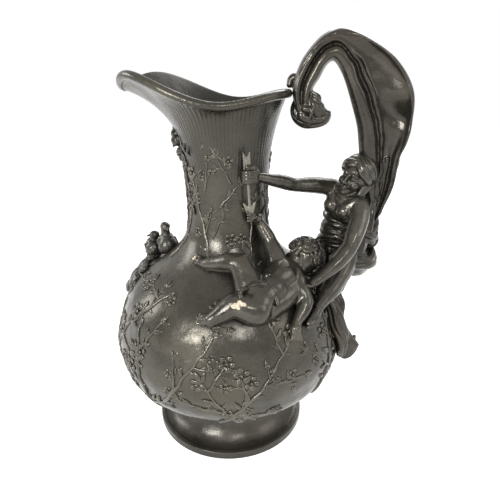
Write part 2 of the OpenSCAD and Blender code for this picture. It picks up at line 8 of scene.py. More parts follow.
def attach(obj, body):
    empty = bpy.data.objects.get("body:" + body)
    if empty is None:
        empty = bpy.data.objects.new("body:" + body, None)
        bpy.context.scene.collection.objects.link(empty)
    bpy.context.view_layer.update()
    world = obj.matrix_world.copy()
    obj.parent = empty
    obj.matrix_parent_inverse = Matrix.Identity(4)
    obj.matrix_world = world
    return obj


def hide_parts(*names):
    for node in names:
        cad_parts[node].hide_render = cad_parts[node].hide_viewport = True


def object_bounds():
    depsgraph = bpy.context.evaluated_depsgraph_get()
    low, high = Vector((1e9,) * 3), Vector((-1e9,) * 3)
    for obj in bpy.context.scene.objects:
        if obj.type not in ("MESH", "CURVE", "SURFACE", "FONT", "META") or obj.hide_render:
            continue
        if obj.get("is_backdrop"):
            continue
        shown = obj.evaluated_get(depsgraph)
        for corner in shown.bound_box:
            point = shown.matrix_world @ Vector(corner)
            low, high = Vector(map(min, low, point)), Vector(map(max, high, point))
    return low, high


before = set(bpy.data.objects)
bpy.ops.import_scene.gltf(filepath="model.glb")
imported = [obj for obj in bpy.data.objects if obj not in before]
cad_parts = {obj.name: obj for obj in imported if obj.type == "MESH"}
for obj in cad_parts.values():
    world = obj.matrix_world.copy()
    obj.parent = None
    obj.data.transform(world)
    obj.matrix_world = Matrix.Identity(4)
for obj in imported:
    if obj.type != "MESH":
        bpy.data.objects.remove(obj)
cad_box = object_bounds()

bpy.ops.object.select_all(action="DESELECT")
mm = 0.001

# Camera
# It stands a little above the ewer and in front of its side, as in the photograph. Its
# place, its turns and its lens are those of a camera fitted to the photograph.
camera_turn, camera_tip, camera_roll = radians(7.07), radians(68.81), radians(0.19)
bpy.ops.object.camera_add(location=(0.0618, -0.3504, 0.3045))
camera = bpy.context.object
camera.rotation_euler = (
    Matrix.Rotation(camera_turn, 3, "Z")
    @ Matrix.Rotation(camera_tip, 3, "X")
    @ Matrix.Rotation(camera_roll, 3, "Z")
).to_euler()
camera.data.lens = 31.68
camera.data.sensor_width = 36
camera.data.clip_start = 0.01
bpy.context.scene.camera = camera

# Table and studio
# A plain white table and five soft lamps, two of them as the windows that shine in the
# bowl. The table and the air show white to the camera and in the metal, and the table
# keeps the ewer's shadow.
class Value:
    """One socket of a material, which reads like a number in a sum"""

    def __init__(self, graph, socket):
        self.graph = graph
        self.socket = socket

    def __add__(self, other):
        return self.graph.sum("ADD", self, other)

    __radd__ = __add__

    def __sub__(self, other):
        return self.graph.sum("SUBTRACT", self, other)

    def __rsub__(self, other):
        return self.graph.sum("SUBTRACT", other, self)

    def __mul__(self, other):
        return self.graph.sum("MULTIPLY", self, other)

    __rmul__ = __mul__

    def __truediv__(self, other):
        return self.graph.sum("DIVIDE", self, other)

    def __rtruediv__(self, other):
        return self.graph.sum("DIVIDE", other, self)


class Graph:
    """The node tree of one finish, or of the air"""

    def __init__(self, owner):
        self.owner = owner
        owner.use_nodes = True
        self.tree = owner.node_tree
        self.tree.nodes.clear()

    def node(self, kind, settings=None, **inputs):
        """Any node: its settings by name, and its sockets by name or, as in i0, by number"""
        made = self.tree.nodes.new(kind)
        for key, value in (settings or {}).items():
            setattr(made, key, value)
        for key, value in inputs.items():
            socket = made.inputs[int(key[1:])] if key[1:].isdigit() else made.inputs[key.replace("_", " ")]
            if isinstance(value, Value):
                self.tree.links.new(value.socket, socket)
            else:
                socket.default_value = value
        return made

    def value(self, node, output=0):
        """What a node gives, by the name or the number of its output"""
        return Value(self, node.outputs[output])

    def sum(self, operation, a, b):
        """Two values in one sum, of any kind that the math node knows"""
        return self.value(self.node("ShaderNodeMath", {"operation": operation}, i0=a, i1=b))

    def ramp(self, factor, stops):
        """A run of colours, each at its place from 0 to 1"""
        made = self.node("ShaderNodeValToRGB", None, i0=factor)
        elements = made.color_ramp.elements
        while len(elements) < len(stops):
            elements.new(0.5)
        for element, (place, colour) in zip(elements, stops):
            element.position = place
            element.color = (*colour, 1)
        return self.value(made)

    def mask(self, factor, stops):
        """A ramp through greys, as a share between 0 and 1"""
        return self.ramp(factor, [(place, (grey, grey, grey)) for place, grey in stops])

    def mix(self, factor, a, b):
        """One colour that goes over into another"""
        made = self.node("ShaderNodeMix", {"data_type": "RGBA"}, i0=factor, i6=a, i7=b)
        return self.value(made, 2)

    def noise(self, place, scale, detail, roughness):
        """Soft random patches, about as many to the metre as the scale says"""
        return self.value(self.node("ShaderNodeTexNoise", None, Vector=place, Scale=scale,
                                    Detail=detail, Roughness=roughness))


def shown_white(graph, lit, shown):
    """One shader for the light on the ewer, and another where the camera sees this thing,
    beside the ewer or mirrored in it"""
    path = graph.node("ShaderNodeLightPath")
    seen = graph.sum("MAXIMUM", graph.value(path, "Is Camera Ray"), graph.value(path, "Is Glossy Ray"))
    seen = graph.sum("MAXIMUM", seen, graph.value(path, "Is Transmission Ray"))
    return graph.value(graph.node("ShaderNodeMixShader", None, i0=seen, i1=lit, i2=shown))


white = (1, 1, 1, 1)
air = Graph(bpy.data.worlds.new("studio_air"))
bpy.context.scene.world = air.owner
plain_air = air.value(air.node("ShaderNodeBackground", None, Color=white, Strength=0.42))
white_air = air.value(air.node("ShaderNodeBackground", None, Color=white, Strength=1.0))
air.node("ShaderNodeOutputWorld", None, Surface=shown_white(air, plain_air, white_air))

bpy.ops.mesh.primitive_plane_add(size=6)
table = bpy.context.object
table.name = "table"
paint = Graph(bpy.data.materials.new("table_white"))
board = paint.value(paint.node("ShaderNodeBsdfDiffuse", None, Color=(0.93, 0.93, 0.93, 1)))
glow = paint.value(paint.node("ShaderNodeEmission", None, Color=white, Strength=0.62))
bright_board = paint.value(paint.node("ShaderNodeAddShader", None, i0=board, i1=glow))
paint.node("ShaderNodeOutputMaterial", None, Surface=shown_white(paint, board, bright_board))
table.data.materials.append(paint.owner)
table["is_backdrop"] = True

aim = Vector((0, 0, 0.15))
for place, size, power, name in (
    ((-0.56, -1.22, 0.62), 0.38, 17, "window_lamp"),
    ((0.50, -1.20, 1.02), 0.26, 6, "second_window_lamp"),
    ((1.6, -0.4, 0.9), 0.8, 6, "right_lamp"),
    ((-1.7, 0.1, 0.8), 0.7, 12, "left_lamp"),
    ((0.3, 1.4, 1.3), 1.0, 14, "back_lamp"),
):
    bpy.ops.object.light_add(type="AREA", location=place)
    lamp = bpy.context.object
    lamp.name = name
    lamp.data.size = size
    lamp.data.energy = power
    lamp.rotation_euler = (aim - Vector(place)).to_track_quat("-Z", "Y").to_euler()

bpy.context.scene.view_settings.view_transform = "Standard"

# Vessel: bowl, neck and lip
# Cast pewter shells, soldered and chased over so that no joint shows. The outline is
# turned about the axis, and the lip is drawn out into a waved rim with a rolled edge.
wall = 2.5
foot_top, body_high, neck_long = 34.0, 151.0, 85.0
belly_r, neck_r, neck_top_r = 98.0, 32.5, 36.5
neck_root = foot_top + body_high
neck_top = neck_root + neck_long
bowl_shares = (
    (0.28, 0), (0.82, 0.16), (0.97, 0.30), (1, 0.42), (0.92, 0.55),
    (0.83, 0.65), (0.66, 0.745), (0.28, 0.865), (0.055, 1),
)
neck_shares = ((0, 0.38), (0.35, 0.7), (1, 1))
outline_keys = [
    Vector((neck_r + (belly_r - neck_r) * s, foot_top + body_high * t)) for s, t in bowl_shares
] + [
    Vector((neck_r + (neck_top_r - neck_r) * s, neck_root + neck_long * t)) for s, t in neck_shares
]


def through(keys, steps):
    """Points on a smooth line through the keys"""
    points = []
    for i in range(len(keys) - 1):
        p, q = keys[max(i - 1, 0)], keys[i]
        r, s = keys[i + 1], keys[min(i + 2, len(keys) - 1)]
        for j in range(steps):
            t = j / steps
            points.append(0.5 * (2 * q + (r - p) * t + (2 * p - 5 * q + 4 * r - s) * t * t
                                 + (3 * q - p - 3 * r + s) * t ** 3))
    return points + [keys[-1].copy()]


outline = through(outline_keys, 14)
outline_heights = [point.y for point in outline]


def skin_r(z):
    """Radius of the skin at a height"""
    z = min(max(z, outline_heights[0]), outline_heights[-1])
    i = min(max(bisect(outline_heights, z), 1), len(outline) - 1)
    a, b = outline[i - 1], outline[i]
    return a.x + (b.x - a.x) * (z - a.y) / max(b.y - a.y, 1e-6)


def skin_at(turn, z, lift=0.0):
    """Point over the skin, by its turn from the handle in degrees, height and lift"""
    slope = (skin_r(z + 1) - skin_r(z - 1)) / 2
    over = lift / sqrt(1 + slope * slope)
    r = skin_r(z) + over
    return Vector((r * cos(radians(turn)), r * sin(radians(turn)), z - over * slope))


rim_back_r, spout_r, rim_high, rim_dip = 50.0, 83.0, 298.0, 8.0
spout_rise, spout_drop, bead_r = 21.0, 17.0, 3.2


def towards_spout(turn):
    """0 under the handle and 1 at the spout"""
    return (1 - cos(turn)) / 2


def rim_heart(turn):
    """The heart of the rolled edge: its radius and height"""
    s = towards_spout(turn)
    reach = rim_back_r + (spout_r - rim_back_r) * s ** 4
    top = rim_high - rim_dip * sin(turn) ** 4 + spout_rise * s ** 5 - spout_drop * s ** 30
    return Vector((reach - bead_r, top - bead_r))


def bezier(a, b, c, d, t):
    """Point on a curve from a to d, drawn towards b and c"""
    u = 1 - t
    return u ** 3 * a + 3 * u * u * t * b + 3 * u * t * t * c + t ** 3 * d


lip_rows, bead_rows = 22, 12
lip_start = next(i for i, p in enumerate(outline) if p.y > 248)


def vessel_section(turn):
    """The wall's outline at one turn, from the underside, over the rim and back to the floor"""
    heart = rim_heart(turn)
    upright = 0.1 + 0.35 * towards_spout(turn)
    knee = neck_top + (heart.y - neck_top) * upright
    start = outline[lip_start]
    along = (outline[lip_start + 1] - start).normalized()
    bead = [
        heart + bead_r * Vector((cos(radians(a)), sin(radians(a))))
        for a in [-118 + 222 * i / bead_rows for i in range(bead_rows + 1)]
    ]
    reach = knee - start.y
    outside = [
        bezier(start, start + along * reach * 0.55,
               bead[0].lerp(Vector((neck_top_r + 0.3, knee)), 0.62), bead[0], i / lip_rows)
        for i in range(lip_rows)
    ]
    inner_r = neck_top_r - wall
    inside = [
        bezier(bead[-1], bead[-1].lerp(Vector((inner_r, knee)), 0.45),
               Vector((inner_r, knee - 6)), Vector((inner_r - 1.5, start.y)), i / lip_rows)
        for i in range(1, lip_rows + 1)
    ]
    body = outline[:lip_start]
    lining = [outline[i] - Vector((wall, 0)) for i in range(lip_start - 4, 0, -6)]
    low = Vector((outline[0].x - 4, foot_top + wall))
    return (
        [Vector((0.01, foot_top))] + body + outside + bead + inside + lining
        + [low, Vector((0.01, foot_top + wall))]
    )


def grid_piece(name, rows, columns, place, merge=0.02, capped=False):
    """A grid whose points are put in place one by one, joined along its long edges, and
    closed at its ends where it is capped"""
    bpy.ops.mesh.primitive_grid_add(x_subdivisions=rows - 1, y_subdivisions=columns, size=2)
    piece = bpy.context.object
    piece.name = name
    for vertex in piece.data.vertices:
        row = round((vertex.co.x + 1) / 2 * (rows - 1))
        column = round((vertex.co.y + 1) / 2 * columns)
        vertex.co = place(row, column % columns) * mm
    bpy.ops.object.mode_set(mode="EDIT")
    bpy.ops.mesh.select_all(action="SELECT")
    bpy.ops.mesh.remove_doubles(threshold=merge * mm)
    if capped:
        bpy.ops.mesh.select_all(action="DESELECT")
        bpy.ops.mesh.select_non_manifold()
        bpy.ops.mesh.edge_face_add()
        bpy.ops.mesh.select_all(action="SELECT")
    bpy.ops.mesh.normals_make_consistent(inside=False)
    bpy.ops.object.mode_set(mode="OBJECT")
    bpy.ops.object.shade_smooth()
    piece.select_set(False)
    return piece


turns_round = 224
sections = [vessel_section(2 * pi * i / turns_round) for i in range(turns_round)]


def vessel_point(row, column):
    """A point of the wall: its place on the outline, then round the axis"""
    p = sections[column][row]
    turn = 2 * pi * column / turns_round
    return Vector((p.x * cos(turn), p.x * sin(turn), p.y))


vessel = grid_piece("vessel_shell", len(sections[0]), turns_round, vessel_point)
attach(vessel, "root")
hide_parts("lower_bowl", "upper_bowl", "neck_tube", "pouring_lip")


ewer_high = 0.34


def pewter(name, dark, light, rough, wear_and_highlight=0.0, fluting=False, grain=1.0, hollow_shade_strength=0.8):
    """Cast pewter with a dark oiled patina: brown and olive clouds, a lighter grey on raised
    edges for worn metal and painted highlight together, painted shade in its hollows, a
    soft unevenness from the casting and a fine grain"""
    graph = Graph(bpy.data.materials.new(name))
    spot = graph.value(graph.node("ShaderNodeTexCoord"), "Object")
    clouds = graph.noise(spot, 34.0, 4.0, 0.55)
    fine = graph.noise(spot, 420.0, 3.0, 0.6)
    specks = graph.noise(spot, 1400.0, 2.0, 0.6)
    swell = graph.noise(spot, 62.0, 1.0, 0.4)
    dents = graph.noise(spot, 150.0, 2.0, 0.5)
    tone = (clouds - 0.5) * 1.7 + (fine - 0.5) * 0.55 + 0.5
    colour = graph.ramp(tone, ((0.12, dark), (0.88, light)))
    brown = graph.mask(graph.noise(spot, 17.0, 2.0, 0.5), ((0.5, 0), (0.72, 1)))
    colour = graph.mix(brown * 0.4, colour, (light[0], light[1] * 0.93, light[2] * 0.80, 1))
    # Painted shade: ambient occlusion darkens the colour in hollows, creases and round the relief, and
    # roughens it there.
    hollow = graph.value(graph.node("ShaderNodeAmbientOcclusion", {"samples": 6}, Distance=0.009), "AO")
    painted_hollow_shade = graph.mask(hollow + (fine - 0.5) * 0.2, ((0.30, 1), (0.78, 0)))
    colour = graph.mix(painted_hollow_shade * hollow_shade_strength, colour, tuple(c * 0.22 for c in dark) + (1,))
    roughness = rough + (clouds - 0.5) * 0.18 + (fine - 0.5) * 0.14 + painted_hollow_shade * 0.2
    # Worn metal and painted highlight together: convex edges, found by their pointiness, get a lighter and
    # smoother metal colour.
    if wear_and_highlight:
        edge = graph.value(graph.node("ShaderNodeNewGeometry"), "Pointiness")
        rubbed_and_highlit_edge = graph.mask(edge + (clouds - 0.5) * 0.05, ((0.53, 0), (0.66, 1)))
        worn_and_highlight_colour = tuple(min(1.0, c * 2.1) for c in light) + (1,)
        colour = graph.mix(rubbed_and_highlit_edge * wear_and_highlight, colour, worn_and_highlight_colour)
        roughness = roughness - rubbed_and_highlit_edge * 0.08
    height = swell * 0.0011 + dents * 0.00022 * grain + fine * 0.0001 * grain + specks * 0.00003 * grain
    if fluting:
        apart = graph.node("ShaderNodeSeparateXYZ", None, i0=spot)
        x, y, z = (graph.value(apart, i) for i in range(3))
        turn = graph.sum("ARCTAN2", y, x)
        wander = graph.noise(spot, 30.0, 1.0, 0.5)
        ridges = graph.sum("SINE", turn * 88 + wander * 9, 0.0)
        ridges = graph.sum("MAXIMUM", ridges, -0.2)
        way_up = z / ewer_high
        fluted = graph.mask(way_up, ((0.66, 0), (0.80, 1), (0.845, 1), (0.87, 0)))
        patch = graph.mask(graph.noise(spot, 24.0, 1.0, 0.5), ((0.42, 0.12), (0.6, 1)))
        height = height + ridges * fluted * patch * 0.00022
        # Painted shade: the faces that look inwards, inside the neck and the lip, are painted much darker
        # and rougher.
        normal = graph.value(graph.node("ShaderNodeTexCoord"), "Normal")
        way = graph.node("ShaderNodeSeparateXYZ", None, i0=normal)
        outward = graph.value(way, 0) * x + graph.value(way, 1) * y
        lining = graph.mask(outward * 40 + 0.5, ((0.30, 1), (0.55, 0)))
        colour = graph.mix(lining * 0.6, colour, tuple(c * 0.3 for c in dark) + (1,))
        roughness = roughness + lining * 0.22
        # A band from the shoulder up the neck to below the rim is painted darker.
        neck_band_darkening = graph.mask(way_up, ((0.50, 0), (0.76, 1), (0.845, 1), (0.875, 0)))
        colour = graph.mix(neck_band_darkening * 0.4, colour, tuple(c * 0.35 for c in dark) + (1,))
    bump = graph.value(graph.node("ShaderNodeBump", None, Strength=1.0, Distance=1.0, Height=height))
    skin = graph.node("ShaderNodeBsdfPrincipled", None, Base_Color=colour, Roughness=roughness,
                      Metallic=0.6, Normal=bump)
    graph.node("ShaderNodeOutputMaterial", None, Surface=graph.value(skin))
    return graph.owner


def coat(piece, finish):
    """The piece in one finish all over"""
    piece.data.materials.clear()
    piece.data.materials.append(finish)


coat(vessel, pewter("vessel_pewter", (0.036, 0.032, 0.025), (0.071, 0.065, 0.051), 0.27, fluting=True))

# Foot
# One hollow casting: a plain band, a narrow ledge and a tall hollow moulding that runs up
# under the bowl. It is open beneath and stands on the band's lower edge.
foot_r, band_high, ledge, throat_r = 68.0, 7.0, 2.5, 48.0


def foot_section():
    """The foot's outline, from the table up the outside and down the hollow"""
    top_r = foot_r - ledge
    soft = 1.2
    quarter = [radians(a) for a in (0, 30, 60, 90)]
    outer = [Vector((foot_r - soft + soft * sin(a), soft - soft * cos(a))) for a in quarter]
    outer += [Vector((foot_r, band_high * t)) for t in (0.45, 0.75)]
    outer += [Vector((foot_r - soft + soft * cos(a), band_high - soft + soft * sin(a))) for a in quarter]
    outer += [Vector((top_r + 0.3, band_high + 0.05)), Vector((top_r, band_high + 0.4))]
    cove = [
        Vector((top_r - (top_r - throat_r) * sin(radians(a)),
                foot_top - (foot_top - band_high) * cos(radians(a))))
        for a in [3 + 87 * i / 30 for i in range(31)]
    ]
    under = [
        Vector((top_r - wall - (top_r - throat_r) * sin(radians(a)),
                foot_top - (foot_top - band_high + wall) * cos(radians(a))))
        for a in [90 - 90 * i / 12 for i in range(13)]
    ]
    return outer + cove + under + [Vector((foot_r - wall, band_high - wall)), Vector((foot_r - wall, 0.0))]


foot_line = foot_section()


def foot_point(row, column):
    """A point of the foot: its place on the outline, then round the axis"""
    p = foot_line[row % len(foot_line)]
    turn = 2 * pi * column / turns_round
    return Vector((p.x * cos(turn), p.x * sin(turn), p.y))


foot = grid_piece("foot_moulding", len(foot_line) + 1, turns_round, foot_point)
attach(foot, "root")
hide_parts("foot_ring")
coat(foot, pewter("foot_pewter", (0.030, 0.027, 0.022), (0.062, 0.056, 0.047), 0.31))

# Relief
# Blossoming twigs in low relief, cast with the shells and chased crisp: crooked twigs with
# knots, pointed leaves, buds and five-petalled blossoms, all round the bowl and the neck.
def limb(places, sizes):
    """A round bar of clay through the places: its line and its thickness, with rounded ends"""
    places, sizes = [Vector(place) for place in places], list(sizes)
    for _ in range(2):
        places.reverse()
        sizes.reverse()
        end, size = places[-1], sizes[-1]
        out = (end - places[-2]).normalized() * size
        places += [end + 0.5 * out, end + 0.87 * out, end + out]
        sizes += [0.87 * size, 0.5 * size, 0.05 * size]
    return places, sizes


def bars_of_clay(bars, sides, steps):
    """All the bars as one mesh"""
    bpy.ops.object.select_all(action="DESELECT")
    bpy.ops.curve.primitive_bezier_curve_add()
    curve = bpy.context.object
    line = curve.data
    line.splines.clear()
    for places, sizes in bars:
        run = line.splines.new("BEZIER")
        run.bezier_points.add(len(places) - 1)
        for point, place, size in zip(run.bezier_points, places, sizes):
            point.co = place * mm
            point.radius = size
            point.handle_left_type = point.handle_right_type = "AUTO"
        run.radius_interpolation = "CARDINAL"
    line.resolution_u = steps
    line.bevel_depth = mm
    line.bevel_resolution = sides
    line.use_fill_caps = True
    curve.location = (0, 0, 0)
    bpy.ops.object.convert(target="MESH")
    return bpy.context.object


def clay_of(name, lumps):
    """The lumps joined to one piece, which stays selected"""
    bpy.ops.object.select_all(action="DESELECT")
    for lump in lumps:
        lump.select_set(True)
    bpy.context.view_layer.objects.active = lumps[0]
    bpy.ops.object.join()
    piece = bpy.context.object
    piece.name = name
    bpy.ops.object.transform_apply(location=True, rotation=True, scale=True)
    return piece


def bead(place, size, around=6, rings=4):
    """A small egg of clay with few faces, because the relief has thousands of them"""
    bpy.ops.mesh.primitive_uv_sphere_add(
        segments=around, ring_count=rings, radius=1, location=Vector(place) * mm)
    lump = bpy.context.object
    lump.scale = Vector(size) * mm
    return lump


def leaf_pattern():
    """A pointed leaf, 9 mm long, bent up at its edges, with a raised midrib"""
    bpy.ops.mesh.primitive_uv_sphere_add(segments=12, ring_count=8, radius=1)
    blade = bpy.context.object
    for vertex in blade.data.vertices:
        x, h, y = vertex.co
        along = (y + 1) / 2
        width = 1.9 * sin(pi * along ** 0.8) ** 0.8 * (1 - 0.25 * along) if 0 < along < 1 else 0
        girth = sqrt(max(1 - y * y, 1e-9))
        side, up = x / girth, h / girth
        rib = exp(-(side / 0.22) ** 2) * 0.45 + 0.35 * abs(side) + 0.12 * sin(9 * along) * abs(side)
        raised = (0.75 + 1.3 * rib) * sin(pi * along) ** 0.5 if up > 0.02 else -0.5
        vertex.co = Vector((side * width, 9.2 * along, raised)) * mm
    stem = bead((0, -0.6, 0.1), (0.42, 1.6, 0.55))
    return clay_of("leaf_pattern", [blade, stem])


def blossom_pattern():
    """Five cupped petals round a boss of stamens, 9 mm across"""
    lumps = [bead((0, 0, 0.5), (1.15, 1.15, 0.8), 8, 5)]
    for i in range(5):
        turn = 2 * pi * i / 5 + 0.3
        out = Vector((cos(turn), sin(turn), 0))
        petal = bead(out * 3.0 + Vector((0, 0, 0.15)), (2.0, 1.75, 0.85), 10, 6)
        petal.rotation_euler = (0, -0.22, turn)
        lumps.append(petal)
        edge = bead(out * 4.1 + Vector((0, 0, 0.35)), (0.55, 1.35, 0.75), 8, 4)
        edge.rotation_euler = (0, 0, turn)
        lumps.append(edge)
    for i in range(8):
        turn = 2 * pi * i / 8
        lumps.append(bead((1.45 * cos(turn), 1.45 * sin(turn), 1.05), (0.34, 0.34, 0.45)))
    return clay_of("blossom_pattern", lumps)


def bud_pattern():
    """A closed bud, 5 mm long, in its two small cup leaves"""
    lumps = [bead((0, 3.2, 0.3), (1.35, 2.2, 1.15), 10, 6), bead((0, 5.1, 0.2), (0.6, 1.0, 0.6))]
    for side in (-1, 1):
        leaf = bead((side * 0.85, 1.5, 0.3), (0.55, 1.7, 0.95), 8, 5)
        leaf.rotation_euler = (0, 0, side * -0.4)
        lumps.append(leaf)
    lumps.append(bead((0, -0.4, 0.1), (0.45, 1.6, 0.6)))
    return clay_of("bud_pattern", lumps)


def move_over(turn, z, heading, length):
    """Another place on the skin, at a length in mm in a heading, which is 0 for straight up"""
    slope = (skin_r(z + 1) - skin_r(z - 1)) / 2
    high = z + length * cos(heading) / sqrt(1 + slope * slope)
    return turn + degrees(length * sin(heading) / skin_r(high)), high


relief_sink = 0.15
leaves, blossoms, twig_bars = [], [], []


def lay(pattern, turn, z, heading, size):
    """A copy of the pattern, bent over the skin"""
    copy = pattern.copy()
    copy.data = pattern.data.copy()
    bpy.context.collection.objects.link(copy)
    slope = (skin_r(z + 1) - skin_r(z - 1)) / 2
    lean = sqrt(1 + slope * slope)
    for vertex in copy.data.vertices:
        x, y, h = vertex.co / mm * size
        high = z + (y * cos(heading) - x * sin(heading)) / lean
        round_turn = turn + degrees((x * cos(heading) + y * sin(heading)) / skin_r(high))
        vertex.co = skin_at(round_turn, high, h - relief_sink) * mm
    (blossoms if pattern is blossom else leaves).append(copy)


def twig(turn, z, heading, length, thick, crook, seed, step=6.5):
    """A crooked twig over the skin. Gives the places along it with its heading at each."""
    places = [(turn, z, heading)]
    walked = 0.0
    while walked < length:
        heading += crook * sin(2.3 * len(places) + 1.7 * seed) + 0.05 * sin(5.1 * len(places) + seed)
        turn, z = move_over(turn, z, heading, step)
        places.append((turn, z, heading))
        walked += step
    count = len(places)
    sizes = [thick * (1 - 0.55 * i / count) * (1.22 if (i + seed) % 4 == 1 else 1) for i in range(count)]
    line = [skin_at(t, high, 0.12 * size) for (t, high, _), size in zip(places, sizes)]
    twig_bars.append(limb(line, sizes))
    return places


leaf, blossom, bud = leaf_pattern(), blossom_pattern(), bud_pattern()


def dress(places, seed, size, end):
    """Leaves, buds and side shoots along a twig, and what it ends in"""
    for i, (turn, z, heading) in enumerate(places[1:-1], 1):
        side = 1 if (i + seed) % 2 else -1
        kind = (3 * i + 2 * seed) % 7
        away = heading + side * (0.75 + 0.25 * sin(3.1 * i + seed))
        if kind in (0, 3):
            lay(leaf, turn, z, away, size * (0.85 + 0.2 * sin(2.2 * i + seed)))
        elif kind == 5:
            shoot = twig(turn, z, away, 7.0, 0.62 * size, 0.25, seed + i, 3.5)
            lay(bud, *shoot[-1], size * 0.95)
            lay(leaf, shoot[1][0], shoot[1][1], away - side * 0.9, size * 0.7)
        elif kind == 2:
            shoot = twig(turn, z, away, 9.0, 0.7 * size, 0.22, seed + i, 3.0)
            lay(blossom, shoot[-1][0], shoot[-1][1], away + seed, size * (0.9 + 0.15 * sin(seed + i)))
            lay(leaf, shoot[1][0], shoot[1][1], away + side * 0.8, size * 0.72)
    turn, z, heading = places[-1]
    if end == "blossom":
        further = move_over(turn, z, heading, 3.4 * size)
        lay(blossom, *further, heading + seed, size * 1.1)
        lay(leaf, turn, z, heading + 1.2, size * 0.8)
        lay(leaf, turn, z, heading - 1.3, size * 0.75)
    elif end == "bud":
        lay(bud, turn, z, heading, size)
        lay(leaf, turn, z, heading + 0.9, size * 0.75)
    else:
        for spread in (-0.75, 0.05, 0.8):
            lay(leaf, turn, z, heading + spread, size * (0.95 - 0.12 * abs(spread)))


# Thirteen stems that climb the bowl, each with up to four branches
for i in range(13):
    base = -172 + 360 * i / 13 + 5 * sin(2.9 * i)
    low = 52 + 9 * sin(2.7 * i)
    lean = 0.55 * sin(2.4 * i + 1.2)
    main = twig(base, low, lean, 98 + 18 * sin(1.3 * i), 1.6, 0.34, i)
    dress(main, i, 1.3, ("blossom", "leaves", "bud")[i % 3])
    for j, part in enumerate((2, 5, 8, 12)):
        if part < len(main):
            turn, z, heading = main[part]
            side = 1 if (i + j) % 2 else -1
            long = 26 + 8 * sin(i + 2.1 * j)
            branch = twig(turn, z, heading + side * 0.95, long, 1.2, 0.3, 3 * i + j, 5.2)
            dress(branch, i + 2 * j, 1.2, ("leaves", "blossom", "bud")[(i + j) % 3])

# Two more, where the photograph shows the bowl best
for i, (base, low, lean, length) in enumerate(((-112, 76, 0.42, 66), (-137, 126, 0.75, 34))):
    main = twig(base, low, lean, length, 1.7 - 0.2 * i, 0.36, i + 22)
    dress(main, i + 3, 1.0, ("leaves", "bud", "blossom")[i % 3])
    for part in (3, 7):
        if part < len(main):
            turn, z, heading = main[part]
            aside = 0.85 if part % 3 else -0.9
            branch = twig(turn, z, heading + aside, 22 + 5 * sin(part + i), 1.1, 0.3, part + i, 5.0)
            dress(branch, part + i, 0.95, ("bud", "leaves", "leaves")[(part + i) % 3])

# Seven stems that climb from the shoulder up the neck, each with one branch
for i in range(7):
    base = -158 + 51 * i + 9 * sin(1.9 * i)
    low, lean = 166 + 9 * sin(2.6 * i), 0.35 * sin(3.1 * i + 0.6)
    rise = twig(base, low, lean, 58 + 14 * sin(1.1 * i), 1.3, 0.27, i + 4)
    dress(rise, i + 1, 1.05, ("bud", "blossom", "leaves")[i % 3])
    turn, z, heading = rise[4]
    branch = twig(turn, z, heading + (0.9 if i % 2 else -0.9), 17, 1.0, 0.25, i, 4.5)
    dress(branch, i + 3, 0.95, ("leaves", "bud", "blossom")[i % 3])

# Loose sprigs between them, on the neck and then on the shoulder
for i in range(8):
    base = -163 + 45 * i + 7 * sin(2.3 * i)
    start = 206 + 20 * (i % 3)
    loose = twig(base, start, 1.1 * sin(2.2 * i + 1), 20, 0.95, 0.3, i + 2, 4.5)
    dress(loose, i + 2, 0.95, ("leaves", "bud", "blossom")[i % 3])
for i, (base, start, lean) in enumerate(((-90, 214, 0.8), (-76, 232, -0.7), (-101, 190, 0.3))):
    loose = twig(base, start, lean, 22, 0.95, 0.34, i + 9, 4.5)
    dress(loose, i + 4, 0.9, ("leaves", "bud", "leaves")[i])
for i in range(10):
    base, start = -168 + 36 * i + 6 * sin(1.7 * i), 146 + 5 * sin(2.9 * i)
    loose = twig(base, start, 1.5 * (-1) ** i + 0.3 * sin(i), 24, 1.1, 0.28, i + 5, 4.8)
    dress(loose, i + 1, 1.1, ("blossom", "leaves", "bud")[i % 3])

# Single leaves low on the bowl
for i in range(12):
    lay(leaf, -176 + 30 * i + 5 * sin(3 * i), 44 + 4 * sin(2.2 * i), 0.9 * sin(1.6 * i), 1.1)

for pattern in (leaf, blossom, bud):
    bpy.data.objects.remove(pattern)

relief_finish = pewter("relief_pewter", (0.042, 0.038, 0.030), (0.088, 0.081, 0.064), 0.24, wear_and_highlight=0.5)
for name, lumps in (
    ("relief_twigs", [bars_of_clay(twig_bars, 2, 2)]),
    ("relief_leaves", leaves),
    ("relief_blossoms", blossoms),
):
    relief = clay_of(name, lumps)
    bpy.ops.object.shade_smooth()
    relief.select_set(False)
    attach(relief, "root")
    coat(relief, relief_finish)

# Woman
# A slush-cast figure of a seated woman, soldered to the shoulder of the bowl. The flesh is
# one smooth skin. She turns to the vessel, holds the arrow to its neck with her right hand
# and reaches down to the child with her left.
def ball(place, size, frame_of=None):
    """A ball or an egg of clay, turned to the frame of the form that it lies on"""
    bpy.ops.mesh.primitive_uv_sphere_add(segments=20, ring_count=12, radius=1, location=Vector(place) * mm)
    lump = bpy.context.object
    lump.scale = Vector(size if isinstance(size, tuple) else (size,) * 3) * mm
    if frame_of:
        lump.rotation_euler = frame_of.to_euler()
    return lump


def sculpt(name, clay, voxel, smoothing):
    """The clay pressed into one skin, in which a voxel's width in mm is the finest detail"""
    lumps = [lump for lump in clay if not isinstance(lump, tuple)]
    bars = [lump for lump in clay if isinstance(lump, tuple)]
    if bars:
        lumps.append(bars_of_clay(bars, 5, 5))
    piece = clay_of(name, lumps)
    remesh = piece.modifiers.new("skin", "REMESH")
    remesh.mode = "VOXEL"
    remesh.voxel_size = voxel * mm
    bpy.ops.object.modifier_apply(modifier=remesh.name)
    if smoothing:
        soft = piece.modifiers.new("soft", "SMOOTH")
        soft.factor = 0.5
        soft.iterations = smoothing
        bpy.ops.object.modifier_apply(modifier=soft.name)
    bpy.ops.object.shade_smooth()
    piece.select_set(False)
    return piece


